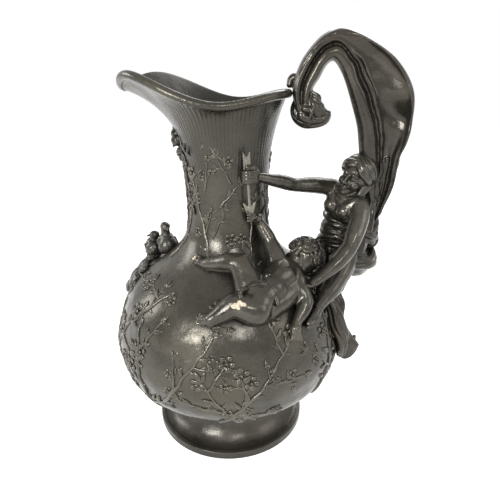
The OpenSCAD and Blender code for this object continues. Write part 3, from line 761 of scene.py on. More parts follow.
def facing(forward, up):
    """The turn that brings x to the side, y forward and z up"""
    forward = Vector(forward).normalized()
    side = forward.cross(Vector(up)).normalized()
    return Matrix((side, forward, side.cross(forward))).transposed()


def spots(on, *given):
    """A line of places, each given in the measures of one form, such as her head"""
    return [on(*place) for place in given]


chest_turn = facing((-0.66, -0.75, 0.06), (0.31, 0.06, 0.95))
chest_heart = Vector((94.5, 9.0, 204.0))


def from_chest(side, forward, up):
    """A place in mm from the heart of her chest: to its side, to the front and upwards"""
    return chest_heart + chest_turn @ Vector((side, forward, up))


left_shoulder, right_shoulder = (106.4, -1.2, 210.2), (87.0, 16.6, 220.6)
body = [
    ball(from_chest(0, 0, 0), (15.2, 11.4, 15.5), chest_turn),
    ball(from_chest(0, 1.5, 7), (14.0, 9.2, 8.0), chest_turn),
    limb([left_shoulder, from_chest(4.5, 1.5, 11.8), from_chest(-4.5, 1.5, 12.2), right_shoulder],
         [7.8, 6.6, 6.6, 7.4]),
    limb([left_shoulder, from_chest(0, -2.5, 12), right_shoulder], [7.4, 7.6, 7.0]),
    ball((90.5, 10.0, 188.5), (13.2, 10.4, 11.5), chest_turn),
    ball((91.0, 11.0, 172.0), (17.0, 13.5, 13.0), chest_turn),
    limb([from_chest(0.6, -1.0, 9), (99.8, 10.8, 219.5), (101.2, 7.5, 227.0)], [7.6, 6.2, 6.2]),
]
flesh_rough = sculpt("woman_rough", body, 1.0, 8)
breasts = [ball(from_chest(side * 6.8, 7.9, 2.4), (6.6, 6.4, 6.8), chest_turn) for side in (-1, 1)]
breasts += [ball(from_chest(side * 7.2, 13.9, 1.9), 0.9) for side in (-1, 1)]
breasts += [
    limb(spots(from_chest, (side * 11.5, 3.4, 11.0), (side * 8.0, 5.6, 6.5)), [5.4, 5.8])
    for side in (-1, 1)
]
collar = [
    limb(spots(from_chest, (side * 1.4, 6.6, 12.6), (side * 7.0, 6.6, 14.0), (side * 13.0, 4.2, 15.4)),
         [1.2, 1.2, 1.3])
    for side in (-1, 1)
]

# Her right arm, with the palm and four fingers and then the thumb round the arrow
right_arm = [
    limb([right_shoulder, (79.0, 12.8, 222.4), (69.5, 7.0, 224.4), (59.5, -0.5, 225.8), (53.5, -5.6, 227.0),
          (46.5, -12.4, 230.2), (37.5, -20.6, 233.6), (30.4, -27.4, 236.4), (26.6, -30.6, 237.6)],
         [7.4, 7.2, 6.9, 6.0, 5.6, 5.8, 4.9, 3.8, 3.4]),
    ball((54.2, -3.6, 225.6), (3.6, 3.4, 3.4)),
    ball((25.4, -31.6, 238.0), (4.2, 3.2, 4.9), facing((-0.86, -0.5, 0.1), (0.1, 0.1, 1))),
    ball((21.6, -33.6, 238.4), (3.2, 3.0, 4.7), facing((-0.86, -0.5, 0.1), (0.1, 0.1, 1))),
]
for i in range(4):
    high = 242.0 - 2.45 * i
    size = (1.5, 1.6, 1.55, 1.35)[i]
    right_arm.append(limb(
        [(27.0, -34.4, high + 0.4), (23.4, -36.9, high + 0.1), (19.6, -37.2, high - 0.2),
         (17.0, -35.0, high - 0.4)],
        [size * 1.05, size * 1.1, size * 1.05, size * 0.85]))
right_arm.append(limb([(27.6, -31.4, 241.0), (24.6, -34.0, 244.8), (20.6, -36.6, 245.6)],
                      [2.1, 1.75, 1.35]))

# Her left arm, with the palm, the fingers and the thumb
left_arm = [
    limb([left_shoulder, (106.6, -6.6, 204.8), (104.8, -13.2, 197.6), (102.2, -19.6, 190.4),
          (100.4, -23.0, 186.0), (95.4, -28.2, 179.0), (87.4, -34.2, 171.2), (78.6, -39.4, 164.0),
          (73.4, -42.2, 160.6)],
         [8.2, 8.2, 7.7, 7.0, 6.3, 6.4, 5.6, 4.4, 3.9]),
    ball((103.6, -21.6, 185.8), (3.4, 3.4, 3.4)),
    ball((70.6, -43.6, 159.4), (4.4, 3.4, 2.4), facing((-0.8, -0.5, -0.35), (-0.3, -0.2, 1))),
]
for i in range(4):
    spread = i - 1.5
    left_arm.append(limb(
        [(69.0 + 0.8 * spread, -44.6 - 2.0 * spread, 159.4),
         (63.6 + 0.5 * spread, -47.2 - 2.1 * spread, 160.8),
         (59.2 + 0.3 * spread, -50.4 - 2.0 * spread, 158.4),
         (57.6 + 0.3 * spread, -52.4 - 1.8 * spread, 155.0)],
        [1.5, 1.35, 1.25, 1.05]))
left_arm.append(limb([(72.6, -40.6, 160.2), (68.0, -39.4, 162.4), (64.2, -40.6, 163.4)], [2.0, 1.6, 1.3]))

# Her left leg, with the knee, the heel, the instep and five toes
left_leg = [
    limb([(97.0, 3.0, 166.0), (96.2, -5.0, 162.8), (94.6, -12.6, 159.2), (92.2, -19.6, 155.6),
          (89.4, -26.0, 152.6), (86.2, -32.0, 149.8), (81.2, -40.2, 145.4), (77.0, -47.4, 141.4)],
         [13.0, 12.2, 10.8, 9.2, 8.4, 7.8, 5.8, 4.3]),
    ball((88.2, -21.8, 156.6), (4.6, 4.6, 4.6)),
    ball((77.0, -48.6, 138.2), (3.2, 3.2, 3.4)),
    limb([(76.6, -48.6, 140.2), (73.0, -54.4, 137.2), (70.2, -59.2, 134.2)], [3.9, 3.3, 2.4]),
    limb([(77.2, -50.0, 137.2), (73.4, -57.6, 133.8), (71.0, -60.8, 132.4)], [2.6, 2.2, 1.9]),
]
for i in range(5):
    left_leg.append(limb(
        [(71.6 - 0.9 * i + 0.4, -58.6 + 0.9 * i - 0.6, 134.2),
         (69.4 - 0.95 * i + 0.5, -62.4 + 1.25 * i, 132.4 - 0.15 * i)],
        [1.5 - 0.12 * i, 1.25 - 0.1 * i]))

# Her head
# An egg-shaped skull with a smaller jaw, and the features laid on it. It is cast in one
# with her body, bent over the arrow, and its face is a calm, general one.
gaze = facing((-0.58, -0.80, 0.05), (0.44, 0.08, 0.89))
head_heart = Vector((102.4, 4.6, 233.6))
head_size = 1.3


def on_head(side, forward, up):
    """A place on her head, to its side, to the front and upwards"""
    return head_heart + head_size * (gaze @ Vector((side, forward, up)))


def head_span(*sizes):
    """Sizes brought to the scale of her head"""
    return tuple(size * head_size for size in sizes)


head = [
    ball(on_head(0, -1.2, 1.6), head_span(8.0, 10.2, 9.2), gaze),
    ball(on_head(0, 3.2, -3.2), head_span(5.9, 5.9, 7.9), gaze),
    ball(on_head(0, 4.5, 2.8), head_span(6.3, 4.6, 4.4), gaze),
    limb(spots(on_head, (-4.2, 1.4, -5.6), (-2.0, 5.8, -9.0), (0, 7.6, -10.2), (2.0, 5.8, -9.0),
               (4.2, 1.4, -5.6)),
         head_span(1.5, 1.6, 1.9, 1.6, 1.5)),
]
for side in (-1, 1):
    head.append(ball(on_head(side * 4.2, 5.9, -4.0), head_span(2.7, 2.9, 2.9), gaze))
head_rough = sculpt("head_rough", head, 0.6, 8)

# The nose and the lips, then each side's brow and its eye with two lids
features = [
    limb(spots(on_head, (0, 9.0, 1.6), (0, 10.3, -0.6), (0, 11.7, -3.4)), head_span(0.85, 0.8, 1.15)),
    ball(on_head(-1.15, 10.3, -3.7), 0.95 * head_size),
    ball(on_head(1.15, 10.3, -3.7), 0.95 * head_size),
    limb(spots(on_head, (-2.3, 8.6, -6.2), (-0.9, 9.9, -5.9), (0, 10.1, -6.1), (0.9, 9.9, -5.9),
               (2.3, 8.6, -6.2)),
         head_span(0.4, 0.85, 0.75, 0.85, 0.4)),
    limb(spots(on_head, (-1.9, 8.7, -6.9), (0, 9.9, -7.3), (1.9, 8.7, -6.9)), head_span(0.4, 1.05, 0.4)),
]
for side in (-1, 1):
    features += [
        limb(spots(on_head, (side * 0.9, 9.1, 1.5), (side * 3.2, 8.9, 2.3), (side * 5.9, 6.6, 1.2)),
             head_span(0.7, 0.95, 0.6)),
        ball(on_head(side * 3.1, 7.6, -0.2), head_span(1.75, 1.5, 1.25), gaze),
        limb(spots(on_head, (side * 1.4, 8.6, -0.2), (side * 3.2, 9.0, 0.5), (side * 4.9, 7.7, -0.2)),
             head_span(0.3, 0.42, 0.3)),
        limb(spots(on_head, (side * 1.5, 8.5, -0.5), (side * 3.2, 8.8, -1.1), (side * 4.8, 7.6, -0.5)),
             head_span(0.25, 0.32, 0.25)),
    ]
flesh = breasts + collar + right_arm + left_arm + left_leg + features
woman = sculpt("woman_figure", [flesh_rough, head_rough] + flesh, 0.55, 4)
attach(woman, "root")
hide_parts("woman_torso", "woman_head", "woman_right_arm", "woman_left_arm", "woman_left_leg")
figure_finish = pewter("figure_pewter", (0.028, 0.025, 0.019), (0.084, 0.077, 0.063), 0.21, wear_and_highlight=0.5,
                       grain=1.5, hollow_shade_strength=0.7)
coat(woman, figure_finish)

# Woman's hair
# Thick hair, parted in the middle, which falls in soft waves over the ears and is turned
# under at the nape. It is cast with the head and chased with fine strands.
def on_hair(way, lift=0.0):
    """A place on her dressed hair, in a direction from the heart of her head"""
    way = way.normalized()
    return on_head(way.x * (9.3 + lift), way.y * (10.7 + lift) - 2.0, way.z * (10.2 + lift) + 1.6)


def lock(side, rise, lift, thick):
    """One lock from the parting, over the ear, to the nape"""
    parting = Vector((0.04 * side, 0.80 - 1.3 * rise, 0.66 + 0.5 * rise * (1.4 - rise)))
    ear = Vector((side * 1.35, 0.60 - 1.15 * rise, -0.06 + 0.10 * rise))
    nape = Vector((side * (0.42 - 0.2 * rise), -0.78, -0.66 + 0.2 * rise))
    places, sizes = [], []
    for j in range(9):
        t = j / 8
        way = ((1 - t) ** 2 * parting + 2 * t * (1 - t) * ear + t * t * nape).normalized()
        way = way + 0.10 * sin(8.5 * t + 3 * rise + side) * Vector((0.2, way.z, -way.y))
        places.append(on_hair(way, lift + 0.25 * sin(7 * t + 4 * rise)))
        sizes.append(thick * (0.7 + 0.5 * sin(pi * min(1, 0.15 + t))))
    return limb(places, head_span(*sizes))


# The mass of the hair, then on each side broad locks, fine ones over them and the rolls at
# the nape, and last the tress that falls behind her neck with its strands
hair = [
    ball(on_head(0, -2.9, 1.6), head_span(8.7, 9.7, 9.8), gaze),
    ball(on_head(0, -10.6, -5.6), head_span(6.6, 4.6, 4.6), gaze),
]
for side in (-1, 1):
    for i in range(8):
        hair.append(lock(side, i / 7, 0.1 + 0.35 * sin(2.1 * i), 1.6))
    for i in range(24):
        hair.append(lock(side, (i + 0.4) / 24, 0.95 + 0.3 * sin(1.1 * i), 0.5))
    for i in range(3):
        hair.append(limb(
            spots(on_head, (side * (6.4 - i), -6.4 - 2 * i, -7.4),
                  (side * (5.0 - i), -10.6 - i, -9.0 + 0.8 * i),
                  (side * (2.4 - 0.5 * i), -14.0 - 0.4 * i, -7.6 + 1.6 * i),
                  (side * 0.6, -13.6, -4.4 + 1.6 * i)),
            head_span(1.2, 1.6, 1.5, 1.1)))
nape_run = [
    Vector(place) for place in
    ((114.0, 9.6, 240.0), (113.2, 8.4, 231.4), (110.4, 6.0, 224.6), (106.4, 3.8, 218.6))
]
hair.append(limb(nape_run, [4.2, 5.1, 4.8, 3.9]))
for i in range(11):
    line = []
    for place, size, ahead in zip(nape_run, (4.6, 5.6, 5.2, 4.2), (0, 0.3, 0.6, 0.8)):
        swing = 0.571 * i + ahead
        line.append(place + size * 0.93 * Vector((cos(swing), -0.8 * sin(swing), 0.5 * cos(swing + 0.8))))
    hair.append(limb(line, [0.9, 1.1, 1.1, 0.8]))
woman_hair = sculpt("woman_hair", hair, 0.4, 1)
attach(woman_hair, "root")
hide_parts("woman_head")
coat(woman_hair, figure_finish)

# Her cloth
# A length of cloth wound about her waist and hips, gathered in a roll behind her, and let
# down to the shoulder of the bowl. It is cast with her; the folds are chased sharper.
def across_line(places, i, lean):
    """The two ways across a line at one of its places"""
    ahead = (places[min(i + 1, len(places) - 1)] - places[max(i - 1, 0)]).normalized()
    side = ahead.cross(Vector(lean)).normalized()
    return side, side.cross(ahead)


def gathers(places, sizes, strands, twist, share):
    """A bundle of folds round a core, which follow the places with their own thickness"""
    places = [Vector(p) for p in places]
    made = [limb(places, [size * 0.82 for size in sizes])]
    for k in range(strands):
        line = []
        for i, place in enumerate(places):
            side, up = across_line(places, i, (0.3, 0.2, 1))
            along = i / (len(places) - 1)
            turn = 2 * pi * k / strands + twist * along + 0.25 * sin(1.7 * k + 2.3 * i)
            out = sizes[i] * (0.72 + 0.1 * sin(2.6 * k))
            line.append(place + out * (cos(turn) * side + sin(turn) * up))
        made.append(limb(line, [size * share * (1 + 0.2 * sin(1.9 * k)) for size in sizes]))
    return made


# Under the folds: waist, hips and thighs
wrap = [
    ball((90.8, 10.2, 187.0), (14.8, 12.6, 10.5), chest_turn),
    ball((91.8, 12.0, 172.5), (18.5, 15.2, 11.5), chest_turn),
    limb([(92.4, 9.5, 166.0), (94.0, 6.0, 152.0), (92.0, 4.0, 139.0)], [14.5, 13.0, 10.5]),
    limb([(84.0, 18.0, 166.0), (75.0, 15.5, 158.5), (72.0, 20.0, 150.0)], [12.0, 9.2, 8.0]),
    limb([(84.0, 20.0, 164.0), (82.0, 27.0, 150.0), (80.0, 30.0, 143.0)], [12.0, 9.0, 7.5]),
    limb([(106.0, 16.0, 172.0), (102.0, 12.0, 160.0), (97.0, 9.0, 146.0)], [12.5, 12.5, 9.0]),
]


def roll_of_cloth(places, sizes, turns, strand):
    """A thick roll with folds that run along it, and a plump core"""
    rolled = [limb(places, [size * 0.86 for size in sizes])]
    places = [Vector(p) for p in places]
    for k in range(turns):
        line = []
        for i, place in enumerate(places):
            side, up = across_line(places, i, (0.2, -0.3, 1))
            around = 2 * pi * k / turns + 0.5 * sin(1.2 * i + k)
            out = sizes[i] * (0.80 + 0.06 * sin(3 * k))
            line.append(place + out * (cos(around) * side + sin(around) * up))
        widths = [size * strand * (1 + 0.25 * sin(2.2 * k + i)) for i, size in enumerate(sizes)]
        rolled.append(limb(line, widths))
    return rolled


# The roll behind her, from her hip round to her back and up to her shoulder
wrap += roll_of_cloth([(100.0, -2.0, 161.0), (107.0, 6.0, 157.0), (114.0, 14.5, 155.6),
                       (119.4, 24.0, 158.0), (119.0, 33.0, 163.0)],
                      [7.0, 9.6, 10.6, 9.6, 6.4], 9, 0.30)
wrap += roll_of_cloth([(119.0, 30.0, 166.0), (121.4, 30.5, 173.0), (121.6, 28.0, 180.0),
                       (119.6, 24.5, 186.0)],
                      [6.0, 7.6, 7.0, 4.6], 6, 0.34)
wrap += roll_of_cloth([(110.0, 10.0, 186.0), (117.0, 16.0, 180.0), (121.0, 23.0, 176.0),
                       (120.0, 31.0, 177.0)],
                      [4.6, 5.6, 5.8, 4.4], 6, 0.34)
wrap += roll_of_cloth([(117.6, 20.0, 183.0), (120.6, 22.5, 190.0), (121.6, 20.0, 199.0),
                       (120.0, 15.0, 208.0), (118.4, 11.6, 217.0), (120.6, 12.0, 228.0),
                       (124.0, 12.0, 238.0)],
                      [5.6, 6.2, 5.6, 5.0, 4.6, 4.2, 2.6], 5, 0.36)


def round_waist(turn, high, out):
    """A place on the wound cloth, by its turn from her front and its height on her spine"""
    spine = Vector((91.4, 10.8, 169.0)).lerp(Vector((92.4, 9.2, 200.0)), high)
    wide = 18.2 - 5.0 * min(1, high * 1.6) + 2.6 * max(0, high - 0.66)
    deep = 15.0 - 3.4 * min(1, high * 1.6) + 1.6 * max(0, high - 0.66)
    return spine + chest_turn @ Vector(((wide + out) * sin(turn), (deep + out) * cos(turn), 0))


# Folds round the waist and hips, then folds that fall from the hips to the bowl
for k in range(10):
    high = -0.10 + 0.112 * k
    lean = 0.10 + 0.13 * sin(1.9 * k + 0.4)
    places, sizes = [], []
    for j in range(9):
        turn = radians(-120 + 30 * j + 7 * sin(2.1 * k))
        swing = 0.025 * sin(3.1 * turn + 1.7 * k)
        places.append(round_waist(turn, high - lean * sin(turn + 0.3 * sin(k)) + swing, -0.2))
        sizes.append(0.9 + 1.0 * abs(sin(0.75 * j + 1.9 * k)))
    wrap.append(limb(places, sizes))
for k in range(6):
    turn = radians(-64 + 24 * k)
    root = round_waist(turn * 0.8, 0.12, 0.5)
    end = skin_at(-15 + 10.5 * k, 140.0 - 2.5 * sin(1.8 * k), 3.2)
    middle = root.lerp(end, 0.5) + Vector((6.0, 0.0, 1.0)) * (0.6 + 0.3 * sin(2.2 * k))
    wrap.append(limb([root, middle, end], [2.2, 2.6, 2.0]))
skirt = sculpt("woman_cloth", wrap, 0.62, 3)
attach(skirt, "root")
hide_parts("woman_skirt")
cloth_finish = pewter("drapery_pewter", (0.022, 0.019, 0.015), (0.052, 0.047, 0.037), 0.24, wear_and_highlight=0.45,
                      grain=1.0, hollow_shade_strength=0.6)
coat(skirt, cloth_finish)

# Tails of the cloth
# Three loose ends of the same cloth, cast with it, hang down the side of the bowl under
# her. They come together below, where their hem stands off the bowl.
tails = gathers(spots(skin_at, (-13, 137, 3), (-14, 127, 3.6), (-15, 114, 4.4), (-15, 100, 5.4),
                      (-14, 87, 5.0)),
                [4.0, 5.2, 5.8, 5.6, 3.4], 5, twist=0.3, share=0.4)
tails += gathers(spots(skin_at, (-7, 138, 4), (-9, 128, 6.6), (-11, 116, 3.6), (-11.5, 104, 5.6),
                       (-11, 93, 15.5)),
                 [4.2, 5.8, 4.8, 4.4, 3.0], 5, twist=0.4, share=0.4)
tails += gathers(spots(skin_at, (0, 138, 4), (0.5, 128, 4.2), (3, 116, 4.6), (6, 104, 5.0)),
                 [4.6, 5.2, 4.6, 2.6], 4, twist=0.4, share=0.4)
tails.append(limb(spots(skin_at, (-17, 92, 4.0), (-13, 85.5, 5.5), (-9, 91, 12.0), (-7.5, 97, 14.0)),
                  [1.8, 2.4, 2.4, 1.6]))
tails += [
    limb(spots(skin_at, (-11.8, 106, 4.6), (-12, 96, 8.6), (-12.6, 86.5, 9.6)), [2.2, 3.2, 2.4]),
    limb(spots(skin_at, (-10.6, 93, 17.0), (-11.6, 88.5, 14.0), (-12.8, 84.5, 9.6), (-14.4, 85.5, 5.2)),
         [1.3, 1.8, 1.7, 1.2]),
    limb(spots(skin_at, (-11.6, 100, 9.4), (-11.8, 92, 13.2), (-12.0, 87.5, 12.0)), [1.4, 2.2, 1.8]),
]
tails_piece = sculpt("cloth_tails", tails, 0.55, 3)
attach(tails_piece, "root")
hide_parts("skirt_tails")
coat(tails_piece, cloth_finish)

# Handle
# A broad billow of the same cloth, cast in one. It rises behind her shoulder, turns over
# above the rim and comes down on it, gathered to a strap with a knotted end. Its long folds
# run together at both ends, and the outer edge is rolled over.
handle_rows = (
    ((0.735, -0.10), (0.815, -0.12)), ((0.715, 0.01), (0.865, -0.02)), ((0.66, 0.13), (0.925, 0.12)),
    ((0.60, 0.30), (0.945, 0.29)), ((0.57, 0.40), (0.985, 0.385)), ((0.54, 0.50), (1.00, 0.50)),
    ((0.47, 0.64), (0.97, 0.68)), ((0.41, 0.74), (0.82, 0.835)), ((0.36, 0.80), (0.60, 0.94)),
    ((0.32, 0.83), (0.37, 1.00)), ((0.285, 0.82), (0.235, 0.97)), ((0.25, 0.79), (0.14, 0.91)),
    ((0.215, 0.74), (0.06, 0.83)), ((0.17, 0.69), (0.01, 0.735)), ((0.15, 0.63), (0.0, 0.655)),
    ((0.14, 0.575), (0.03, 0.565)),
)
handle_sway = (15, 12.4, 10.4, 8.4, 6, 3.2, 0.5, 0, 0, 0, 0, 0, 0, 0, 0, 0)


def handle_mm(share, sway):
    """A place in mm, from shares of the handle's reach and height"""
    return Vector((rim_back_r + 90.0 * share[0], sway, 209.6 + 129.4 * share[1]))


inner_edge = through([handle_mm(row[0], y) for row, y in zip(handle_rows, handle_sway)], 12)
outer_edge = through([handle_mm(row[1], y) for row, y in zip(handle_rows, handle_sway)], 12)
cloth_rows = len(inner_edge)
cloth_columns = 80


def clamp(share):
    """The share kept between 0 and 1"""
    return min(1.0, max(0.0, share))


def ridge(v, centre, width):
    """A soft fold: 1 at its centre, and nothing well away from it"""
    return exp(-((v - centre) / width) ** 2)


groove_line = ((0, 0.42), (0.12, 0.42), (0.19, 0.47), (0.26, 0.42), (0.33, 0.357), (0.38, 0.30),
               (0.45, 0.27), (0.52, 0.36), (0.60, 0.50), (0.70, 0.55), (1.0, 0.50))


def groove_at(u):
    """Where the long groove between the rolled inner edge and the open cloth runs"""
    for (a, low), (b, high) in zip(groove_line, groove_line[1:]):
        if u <= b:
            t = (u - a) / (b - a)
            return low + (high - low) * t * t * (3 - 2 * t)
    return groove_line[-1][1]


def cloth_front(u, v):
    """How far the folds stand out, at a share of the way up and over, and of the way across"""
    low, strap = clamp(1.55 - u / 0.2), clamp((u - 0.50) / 0.12)
    groove = groove_at(u)
    high = -3.2 * ridge(v, groove + 0.012, 0.042)
    if v < groove:
        t = v / groove
        high += 3.4 * sin(pi * t) ** 0.8
        high -= 0.9 * (1 - strap) * ridge(t, 0.52 + 0.12 * sin(9 * u), 0.13)
    else:
        t = (v - groove) / (1 - groove)
        hollow = 2.2 * ridge(t, 0.10, 0.08) - 3.8 * sin(pi * min(1.0, t)) ** 1.3
        hollow += 3.8 * ridge(t, 0.95, 0.08)
        crease = 3.2 * ridge(u, 0.352 - 0.03 * (t - 0.5), 0.024) * clamp((t - 0.25) / 0.25)
        fold_over = 2.6 * ridge(u, 0.405 - 0.05 * (t - 0.5), 0.034) * clamp((t - 0.2) / 0.3)
        near_fold, far_fold = ridge(t, 0.34 + 0.5 * u, 0.09), ridge(t, 0.68 + 0.4 * u, 0.08)
        open_cloth = hollow - crease + fold_over + 3.4 * low * near_fold + 3.8 * low * far_fold
        rolled = 4.0 * sin(pi * min(1.0, t)) ** 0.7 - 0.9 * ridge(t, 0.58 + 0.2 * sin(8 * u), 0.07)
        high += open_cloth * (1 - strap) + rolled * strap
    return high


def cloth_point(row, column):
    """A point of the cloth, which is a flat tube from the inner edge to the outer one"""
    u = row / (cloth_rows - 1)
    near, far = inner_edge[row], outer_edge[row]
    across = far - near
    width = across.length
    body_half = 3.4 + 1.2 * max(0.0, 1 - u / 0.2) + 1.4 * clamp((u - 0.5) / 0.15)
    body_half = min(body_half, width * 0.42)
    around = 2 * pi * column / cloth_columns
    v = 0.5 - 0.5 * cos(around)
    edge = min(1.0, sqrt(max(0.0, 4 * v * (1 - v))) * 1.5)
    folds = cloth_front(u, v)
    if sin(around) >= 0:
        lift = -(body_half * edge + folds * min(1.0, edge * 1.2))
    else:
        lift = body_half * edge - 0.6 * folds * min(1.0, edge * 1.2)
    bow = 2.6 * sin(pi * v) * max(0.0, 1 - abs(u - 0.3) / 0.3)
    flutter = 2.4 * sin(17 * u + 1.1) * max(0.0, v - 0.55) * max(0.0, 1 - u / 0.6)
    wave = 0.020 * sin(26 * u + 0.4) * max(0.0, 1 - v / 0.35) * max(0.0, 1 - u / 0.5) * min(1.0, u / 0.08)
    return near + across * (v + wave + 0.006 * flutter) + Vector((0, lift + bow + flutter, 0))


handle = grid_piece("handle_cloth", cloth_rows, cloth_columns, cloth_point, merge=0.01, capped=True)

# The knotted end that lies on the rim, with its creases
knot = [handle]
knot += gathers([(56.0, 0.0, 290.0), (55.5, 0.0, 283.0), (58.5, 0.0, 277.5), (66.0, 0.0, 275.5),
                 (74.5, 0.0, 278.0), (77.0, 0.0, 281.0)],
                [5.0, 6.6, 6.6, 6.0, 4.8, 3.0], 6, twist=1.2, share=0.36)
knot += gathers([(64.0, -2.0, 294.5), (66.5, -3.0, 291.0), (66.5, -3.5, 285.5), (64.0, -3.0, 280.0)],
                [2.6, 4.2, 4.6, 4.0], 4, twist=0.8, share=0.4)
knot += [
    limb([(65.6, -5.8, 288.0), (65.2, -8.2, 283.2), (63.2, -7.8, 277.5)], [1.2, 1.9, 1.3]),
    limb([(56.0, -5.4, 286.5), (60.5, -7.4, 284.0), (64.0, -7.6, 284.2)], [1.8, 2.6, 1.6]),
    limb([(56.6, -3.8, 282.5), (58.4, -4.6, 278.6), (63.0, -4.6, 276.0)], [3.6, 4.2, 3.6]),
    limb([(47.5, 5.0, 301.0), (49.5, 6.5, 305.0), (53.0, 6.0, 305.5), (56.0, 5.0, 301.0)],
         [2.6, 3.6, 3.4, 3.0]),
    limb([(53.0, 4.0, 296.0), (53.0, 6.5, 301.0), (55.0, 7.0, 290.0)], [3.0, 3.2, 3.4]),
    limb([(60.0, 0.0, 291.0), (66.0, -1.5, 286.0), (71.0, -1.0, 281.5), (76.0, -0.5, 280.0)],
         [5.0, 6.4, 6.2, 3.4]),
    limb([(64.0, -5.6, 289.0), (69.0, -6.8, 286.0), (73.0, -5.4, 281.0)], [1.5, 2.2, 1.8]),
]
# Folds that run down from the billow behind her shoulder
for places, sizes, strands in (
    ([(132.4, 13.0, 254.0), (133.2, 16.0, 244.7), (130.4, 18.0, 233.0), (126.6, 18.4, 222.7),
      (123.0, 17.4, 213.5)],
     [1.8, 3.4, 3.8, 3.4, 2.8], 4),
    ([(125.0, 11.5, 246.9), (121.6, 12.6, 233.7), (114.6, 12.0, 223.4), (115.6, 11.0, 212.5),
      (115.2, 6.5, 201.9), (114.0, 2.5, 190.2)],
     [4.0, 5.0, 5.2, 4.8, 4.6, 4.4], 5),
):
    knot += gathers(places, sizes, strands, twist=0.6, share=0.42)
handle = sculpt("handle_cloth", knot, 0.62, 3)
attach(handle, "root")
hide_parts("handle_drapery", "handle_strap", "handle_knot")
coat(handle, cloth_finish)

# Child
# A plump small boy who lies back on the shoulder of the bowl, one leg drawn up. He is a
# solid casting soldered on. His face is a calm, general one with round cheeks.
child_axis = Vector((0.565, 0.773, 0.289))
child_turn = facing((-0.2, -0.25, 0.95), child_axis)
child_gaze = facing((-0.74, -0.66, -0.14), (-0.16, 0.10, 1.0))
child_head_heart = Vector((64.6, -24.6, 172.2))


def on_child(side, forward, up):
    """A place on the child's head, in mm to its left side, to the front and upwards"""
    return child_head_heart + child_gaze @ Vector((side, forward, up))


def hand(wrist, palm, tips, thumb, size):
    """A small hand: a palm, four fingers side by side and a thumb"""
    wrist, palm = Vector(wrist), Vector(palm)
    made = [ball(palm, (size, size, size * 0.82)), limb([wrist, palm], [size * 0.8, size * 0.8])]
    first, last = Vector(tips[0]), Vector(tips[1])
    for k in range(4):
        tip = first.lerp(last, k / 3)
        root = palm + 0.42 * (tip - palm) + 0.25 * (tip - first.lerp(last, 0.5))
        made.append(limb([root, root.lerp(tip, 0.6), tip], [size * 0.30, size * 0.29, size * 0.24]))
    made.append(limb([palm, palm.lerp(Vector(thumb), 0.55), Vector(thumb)],
                     [size * 0.42, size * 0.34, size * 0.27]))
    return made


def small_foot(heel, ball_of_foot, toe, size, across):
    """A foot: heel, instep and a row of toes"""
    heel, middle, toe = Vector(heel), Vector(ball_of_foot), Vector(toe)
    across = Vector(across).normalized()
    made = [
        ball(heel, size * 0.95),
        limb([heel, heel.lerp(middle, 0.5), middle], [size * 0.95, size * 0.92, size]),
    ]
    for k in range(5):
        aside = (k - 1.8) * size * 0.46
        reach = 1.0 - 0.07 * k
        root = middle + across * aside * 0.8
        knuckle = root.lerp(toe + across * aside, 0.6 * reach)
        tip = middle.lerp(toe, reach) + across * aside
        made.append(limb([root, knuckle, tip],
                         [size * 0.5, size * 0.36, size * (0.40 if k == 0 else 0.29)]))
    return made


child_clay = [
    # The trunk, the shoulders and the neck
    ball((32.7, -69.2, 155.0), (13.2, 12.4, 12.2), child_turn),
    ball((40.5, -57.2, 160.0), (13.6, 13.0, 12.6), child_turn),
    ball((47.2, -45.0, 166.0), (13.2, 11.6, 12.6), child_turn),
    limb([(33.5, -67.5, 155.5), (39.5, -58.5, 159.5), (43.5, -51.5, 163.0), (48.0, -43.5, 167.0)],
         [12.6, 12.4, 12.2, 11.6]),
    limb([(35.4, -69.0, 147.4), (44.4, -61.4, 150.6), (52.6, -52.6, 154.4), (57.0, -46.0, 159.0)],
         [10.6, 10.6, 9.8, 8.0]),
    limb([(44.0, -40.0, 172.0), (52.0, -38.5, 168.5), (60.0, -43.0, 162.0)], [7.6, 8.4, 7.8]),
    limb([(52.0, -40.0, 167.5), (58.0, -34.0, 168.5), (62.0, -28.0, 170.5)], [8.0, 7.4, 8.2]),
    # The raised arm, then the lowered one
    limb([(45.0, -38.4, 174.5), (41.2, -33.0, 181.8), (37.4, -28.8, 187.2)], [7.2, 6.6, 5.8]),
    limb([(37.4, -28.8, 187.2), (33.8, -27.2, 193.2), (30.0, -27.0, 200.0)], [6.0, 5.8, 4.2]),
    limb([(59.5, -45.0, 160.0), (64.4, -48.6, 154.2), (67.4, -52.2, 149.0)], [7.4, 6.8, 6.0]),
    limb([(67.4, -52.2, 149.0), (65.6, -57.0, 143.8), (62.2, -63.0, 138.8)], [6.2, 5.8, 4.3]),
    # The leg drawn up, then the other one
    limb([(28.0, -66.0, 158.5), (23.5, -60.5, 168.5), (18.4, -55.2, 178.0)], [11.4, 10.2, 8.4]),
    limb([(18.4, -55.2, 178.0), (10.0, -53.4, 177.6), (1.0, -50.6, 175.2), (-8.6, -48.6, 173.4)],
         [8.2, 7.8, 6.4, 4.7]),
    limb([(32.0, -75.6, 151.4), (25.0, -77.6, 154.2), (17.6, -78.2, 156.8)], [11.6, 10.6, 9.0]),
    limb([(17.6, -78.2, 156.8), (12.0, -80.2, 153.0), (6.0, -82.4, 149.0), (0.9, -84.3, 146.2)],
         [8.8, 8.2, 6.8, 5.2]),
    # The skull and the jaw
    ball(child_head_heart, (12.6, 13.4, 12.8), child_gaze),
    ball(on_child(0, 3.4, -4.6), (9.6, 9.2, 8.2), child_gaze),
]
child_rough = sculpt("child_rough", child_clay, 0.95, 14)

